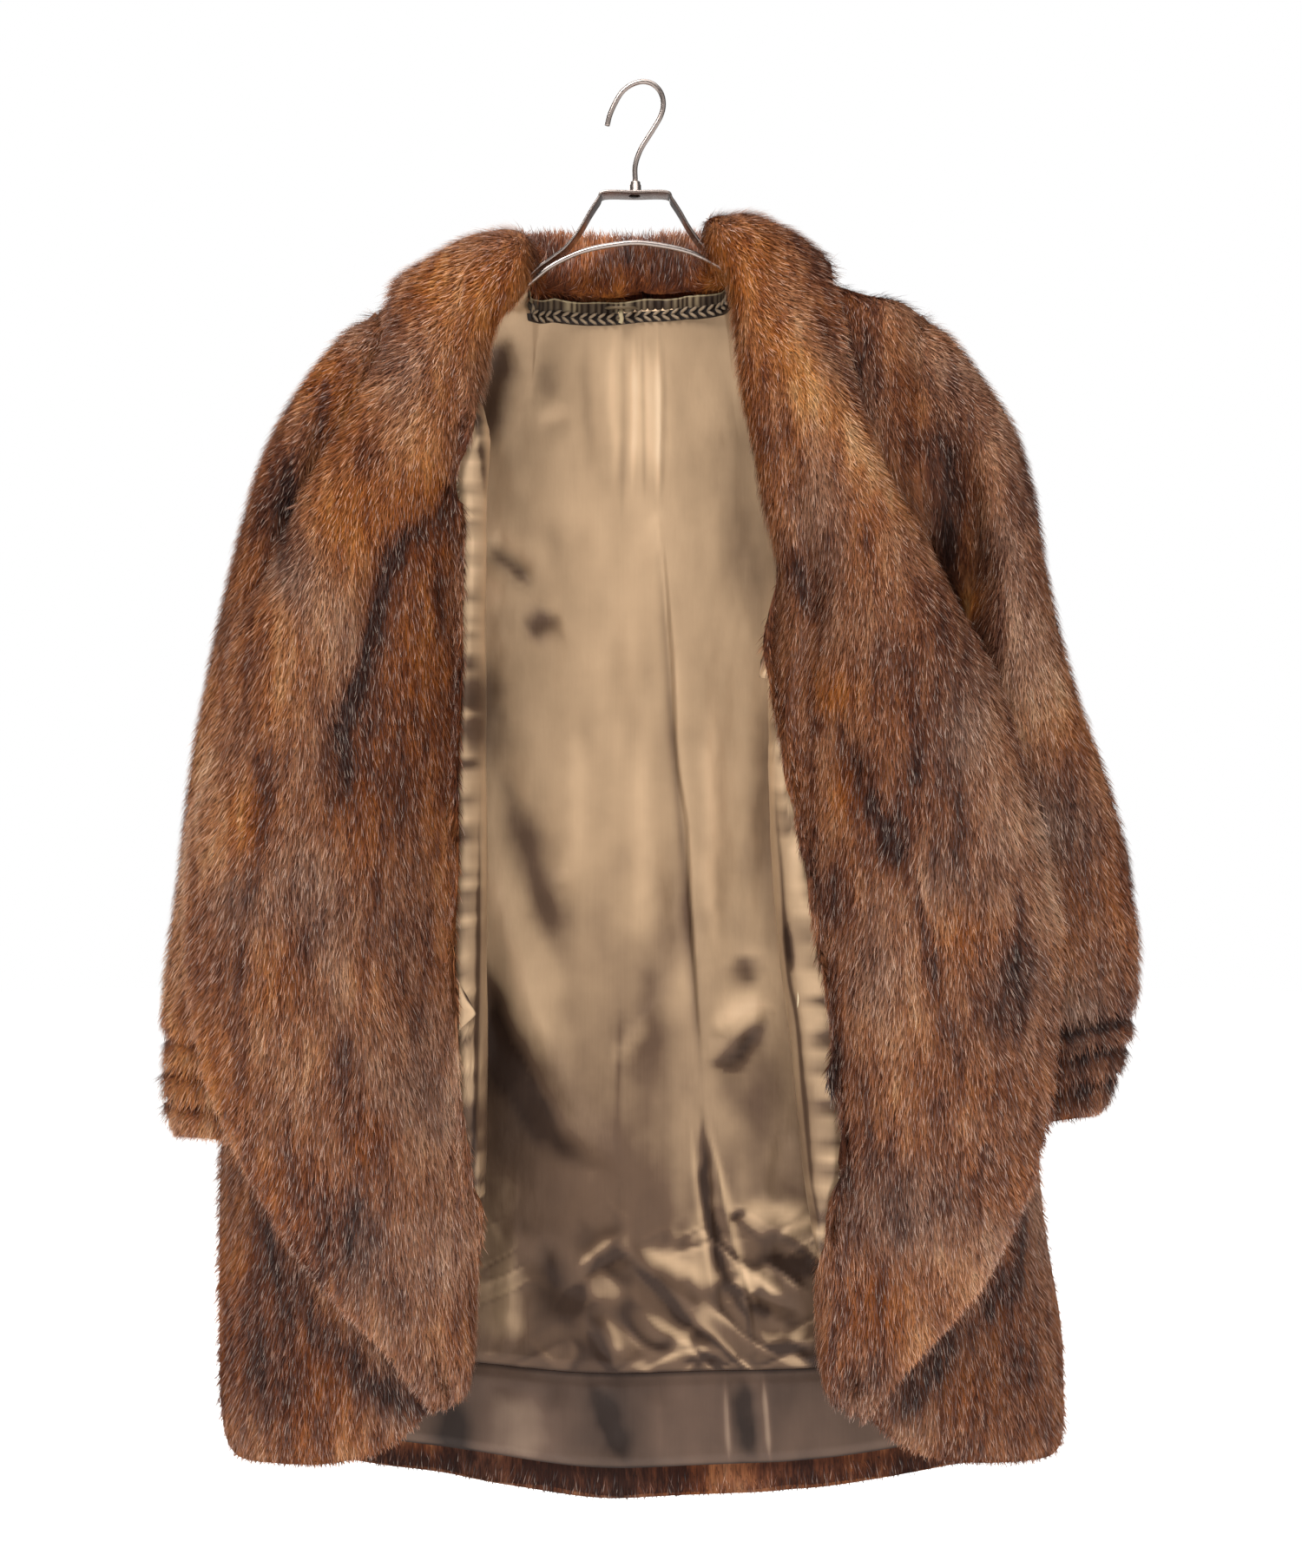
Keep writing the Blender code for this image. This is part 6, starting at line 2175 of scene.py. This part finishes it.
@dataclass(frozen=True)
class NickelSteel:
    """Bright nickel-plated steel wire and strip, drawn and lightly brushed."""

    colour: str = "#A0938C"
    roughness: float = 0.27

    def material(self, name: str = "nickel_steel", shade: float = 1.0) -> bpy.types.Material:
        """Plated steel with fine lines along the wire."""
        made, tree = new_material(name)
        place = add_node(tree, "ShaderNodeTexCoord").outputs["Object"]
        # drawing lines 0.7 mm apart
        lines = add_node(tree, "ShaderNodeMapping", {"Vector": place, "Scale": (300.0, 1400.0, 700.0)})
        grain = add_node(
            tree, "ShaderNodeTexNoise", {"Vector": lines, "Scale": 1.0, "Detail": 3.0},
        )
        rough = add_node(
            tree,
            "ShaderNodeMapRange",
            {"Value": grain.outputs["Fac"], "To Min": self.roughness - 0.08, "To Max": self.roughness + 0.12},
        )
        red, green, blue, _ = linear(self.colour)
        ramp = add_node(
            tree, "ShaderNodeMapRange", {"Value": grain.outputs["Fac"], "To Min": 0.82, "To Max": 1.1},
        )
        tinted = add_node(
            tree,
            "ShaderNodeVectorMath",
            {0: (red * shade, green * shade, blue * shade), "Scale": ramp},
            operation="SCALE",
        )
        bump = add_node(
            tree, "ShaderNodeBump", {"Height": grain.outputs["Fac"], "Strength": 0.15, "Distance": 0.0001},
        )
        shader = add_node(
            tree,
            "ShaderNodeBsdfPrincipled",
            {
                "Base Color": tinted,
                "Roughness": rough,
                "Normal": bump,
                "Metallic": 1.0,
            },
        )
        finish_with(tree, shader)
        return made


@dataclass
class Hanger:
    """Steel hanger: bent strip, lower bar, ferrule with rivet and swivel hook. Sizes in mm."""

    middle: float = -6.0
    strip_thick: float = 2.0
    strip: Points = (
        (0, -83), (23, -83), (27.5, -88), (34, -98), (41, -110), (51, -123), (62, -131), (71, -137), (
            80, -145,
        ),
        (93, -156), (110, -163), (150, -176), (172, -185), (180, -191), (181, -198),
    )
    strip_depth: Points = ((0, 24), (48, 24), (66, 14), (190, 14))
    bar: Points = (
        (0, -120), (19, -122), (34, -125), (46, -129), (62, -137), (74, -146), (92, -161), (108, -168),
    )
    bar_radius: float = 1.9
    bar_y: float = -6.0
    hook: Points = (
        (-6, -72.5), (-6, -61), (-2, -49), (6, -36), (12.5, -25), (15, -16), (13.5, -7), (8, -0.5), (0, 2),
        (-9, -0.5), (-16, -6), (-21, -14), (-25, -23), (-27, -31),
    )
    hook_radius: float = 2.0
    ferrule: Points = (
        (-83.6, 3.0), (-82.0, 5.0), (-80.2, 5.0), (-79.8, 4.5), (-75.6, 4.4), (-75.2, 3.9), (-73.4, 3.8),
        (-72.9, 3.3), (-72.6, 2.3),
    )

    def mirrored(self, half: Points) -> np.ndarray:
        """A smooth line through both halves, from left end to right end."""
        left = [(self.middle - x, z) for x, z in half[:0:-1]]
        return smooth_curve(left + [(self.middle + x, z) for x, z in half], 5)

    @staticmethod
    def circle(count: int, radius: float) -> np.ndarray:
        """A round outline."""
        turn = np.linspace(0, 2 * math.pi, count, endpoint=False)
        return radius * np.stack([np.cos(turn), np.sin(turn)], axis=1)

    def build(self) -> None:
        """Make every piece of the hanger and dress it in steel."""
        steel = NickelSteel()
        # the rivet's near-black steel is painted shade of the hole in its head
        bright, dark = steel.material(), steel.material("hole_shade_steel", 0.05)
        # the strip is a darker copy of the steel, a painted darker reflection
        strip_steel = steel.material("strip_steel", 0.78)
        line = self.mirrored(self.strip)
        depth = np.interp(np.abs(line[:, 0] - self.middle), *zip(*self.strip_depth)) / 2
        half, soft = self.strip_thick / 2, 0.45
        ring = [(1, -soft), (1, soft), (1 - 0.04, half - 0.12), (1 - 0.12, half), (-1 + 0.12, half), (
            -1 + 0.04, half - 0.12,
        )]
        ring += [(-1, soft), (-1, -soft), (-1 + 0.04, -half + 0.12), (-1 + 0.12, -half), (1 - 0.12, -half), (
            1 - 0.04, -half + 0.12,
        )]
        outline = np.array([[(a * d, b) for a, b in ring] for d in depth])
        path = np.stack([line[:, 0], 0 * line[:, 0], line[:, 1]], axis=1)
        strip = sweep("hanger_strip", path * MM, outline * MM, (0.0, 1.0, 0.0))
        low = self.mirrored(self.bar)
        path = np.stack([low[:, 0], 0 * low[:, 0] + self.bar_y, low[:, 1]], axis=1)
        bar = sweep("hanger_lower_bar", path * MM, self.circle(14, self.bar_radius) * MM, (0.0, 1.0, 0.0))
        bend = smooth_curve(self.hook, 7)
        path = np.stack([bend[:, 0], 0 * bend[:, 0], bend[:, 1]], axis=1)
        hook = sweep("hanger_swivel_hook", path * MM, self.circle(16, self.hook_radius) * MM, (0.0, 1.0, 0.0))
        turned = np.array([[self.middle, 0.0, z] for z, _ in self.ferrule])
        rings = np.array([self.circle(24, radius) for _, radius in self.ferrule])
        ferrule = sweep("hanger_turned_ferrule", turned * MM, rings * MM, (0.0, 1.0, 0.0))
        profile = ((-83.9, 4.4), (-84.3, 4.3), (-84.6, 3.6), (-84.5, 2.2), (-84.3, 0.5))
        turned = np.array([[self.middle - 0.5, 0.0, z] for z, _ in profile])
        rings = np.array([self.circle(20, radius) for _, radius in profile])
        rivet = sweep("hanger_rivet", turned * MM, rings * MM, (0.0, 1.0, 0.0))
        dressed = (
            (strip, strip_steel, "hanger_band"),
            (bar, bright, "hanger_bar"),
            (hook, bright, "hanger_hook"),
            (ferrule, bright, "hanger_ferrule"),
            (rivet, dark, None),
        )
        for piece, material, node in dressed:
            piece.data.materials.append(material)
            if node:
                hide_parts(node)
            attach(piece, BODY)
            LOG.info("%s: %d triangles", piece.name, triangles(piece))


# --- stage ------------------------------------------------------------------------------
@dataclass
class Studio:
    """Pale floor under a white surround, soft lights and the camera."""

    floor_z: float = -1.42
    lens_mm: float = 55.2
    distance: float = 1.8
    centre: tuple[float, float] = (0.00585, -0.5239)

    def build(self) -> None:
        """Set the camera, the floor and the lights."""
        scene = bpy.context.scene
        camera = bpy.data.objects.new("camera", bpy.data.cameras.new("camera"))
        camera.data.lens = self.lens_mm
        camera.location = (self.centre[0], -self.distance, self.centre[1])
        camera.rotation_euler = (math.pi / 2, 0, 0)
        scene.collection.objects.link(camera)
        scene.camera = camera
        self.floor()
        self.lamp("key", (-0.8, -1.8, 1.8), 1.2, 89.0)
        self.lamp("top", (0.2, -0.5, 1.9), 1.6, 30.0)
        self.lamp("fill", (1.9, -2.2, 0.2), 2.2, 14.0)
        self.lamp("back", (-0.7, 2.4, 1.2), 1.8, 40.0)
        world = bpy.data.worlds.new("studio")
        world.use_nodes = True
        tree = world.node_tree
        tree.nodes.clear()
        # a white cloth all round, which the eye sees brighter than it lights the coat
        soft = add_node(tree, "ShaderNodeBackground", {"Color": linear("#FFFFFF"), "Strength": 0.21})
        seen = add_node(tree, "ShaderNodeBackground", {"Color": linear("#FFFFFF"), "Strength": 1.0})
        eye = add_node(tree, "ShaderNodeLightPath").outputs["Is Camera Ray"]
        both = add_node(tree, "ShaderNodeMixShader", {0: eye, 1: soft, 2: seen})
        add_node(tree, "ShaderNodeOutputWorld", {"Surface": both})
        scene.world = world
        scene.view_settings.view_transform = "Standard"

    def floor(self) -> None:
        """Lay a round floor of pale paper far below the coat."""
        turns = np.linspace(0, 2 * math.pi, 64, endpoint=False)
        points = np.stack([9 * np.cos(turns), 9 * np.sin(turns), 0 * turns + self.floor_z], axis=1)
        paper = mesh_object("floor", points, [tuple(range(64))])
        made, tree = new_material("pale_paper")
        # the paper is lit from below as well, as in a light tent
        values = {"Base Color": linear("#F7F6F4"), "Roughness": 0.9}
        values |= {"Emission Color": linear("#FFFFFF"), "Emission Strength": 0.88}
        finish_with(tree, add_node(tree, "ShaderNodeBsdfPrincipled", values))
        paper.data.materials.append(made)

    def lamp(self, name: str, place: tuple[float, float, float], size: float, power: float) -> None:
        """Hang one soft square light that looks at the coat's middle."""
        light = bpy.data.lights.new(name, "AREA")
        light.shape, light.size, light.energy = "SQUARE", size, power
        lamp = bpy.data.objects.new(name, light)
        lamp.location = place
        aim = Vector((0, 0, -0.5)) - Vector(place)
        lamp.rotation_euler = aim.to_track_quat("-Z", "Y").to_euler()
        bpy.context.scene.collection.objects.link(lamp)


def grow_pelts(frame: dict) -> dict[str, bpy.types.Object]:
    """Build every piece of fur.

    Args:
        frame: The loaded frame.

    Returns:
        The skin of each piece by its name.
    """
    mink = MinkFur()
    fur = {part: mink.material(part) for part in FurPart}
    cages = [pelt.cage(frame) for pelt in PELTS]
    linings = [frame["nodes"][name] for name in frame["nodes"] if name.startswith("lining")]
    hiding = tree_of(*cages, *linings)
    for pelt, cage in zip(PELTS, cages):
        pelt.exposure(cage, hiding)
    for pelt, cage in zip(PELTS, cages):
        pelt.build(cage, fur)
    return {pelt.name: pelt.pieces[0] for pelt in PELTS}


def sew_lining(frame: dict, skins: dict[str, bpy.types.Object]) -> None:
    """Hang the lining and sew on every trim.

    Args:
        frame: The loaded frame.
        skins: The skin of each piece of fur by its name.
    """
    satin = Satin().material()
    banded = Satin(
        "hem_band_satin", ("#2B201B", "#5E4A3E", "#98806C", "#BDA48C", "#DCC4AA"), 0.42, 0.2,
    ).material()
    gathered = Satin(
        "gathered_satin", ("#0E0907", "#2C2019", "#574838", "#8A785C", "#C4B28C"), 0.45, 0.1,
    ).material()
    cloths = {}
    for lining in LININGS:
        cloths[lining.node] = lining.build(frame, banded if lining.node == "hem_band" else satin)
    braid = BraidCord().material()
    NeckTrims().build(gathered, braid)
    for side, loops in (("left", None), ("right", (-0.595, -0.445))):
        FacingBraid(side, loops).build(cloths[f"lining_front_{side}"], skins[f"shawl_{side}"], braid)
    sewn_tabs(frame, satin)


def main() -> None:
    """Build the dressed coat piece by piece and log its triangles."""
    logging.basicConfig(level=logging.INFO, format="%(message)s")
    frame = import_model()
    Studio().build()
    Hanger().build()
    sew_lining(frame, grow_pelts(frame))
    added = sum(triangles(thing) for thing in bpy.data.objects if thing.type == "MESH" and thing.users_scene)
    LOG.info("all meshes: %d triangles", added)


if __name__ == "__main__":
    main()
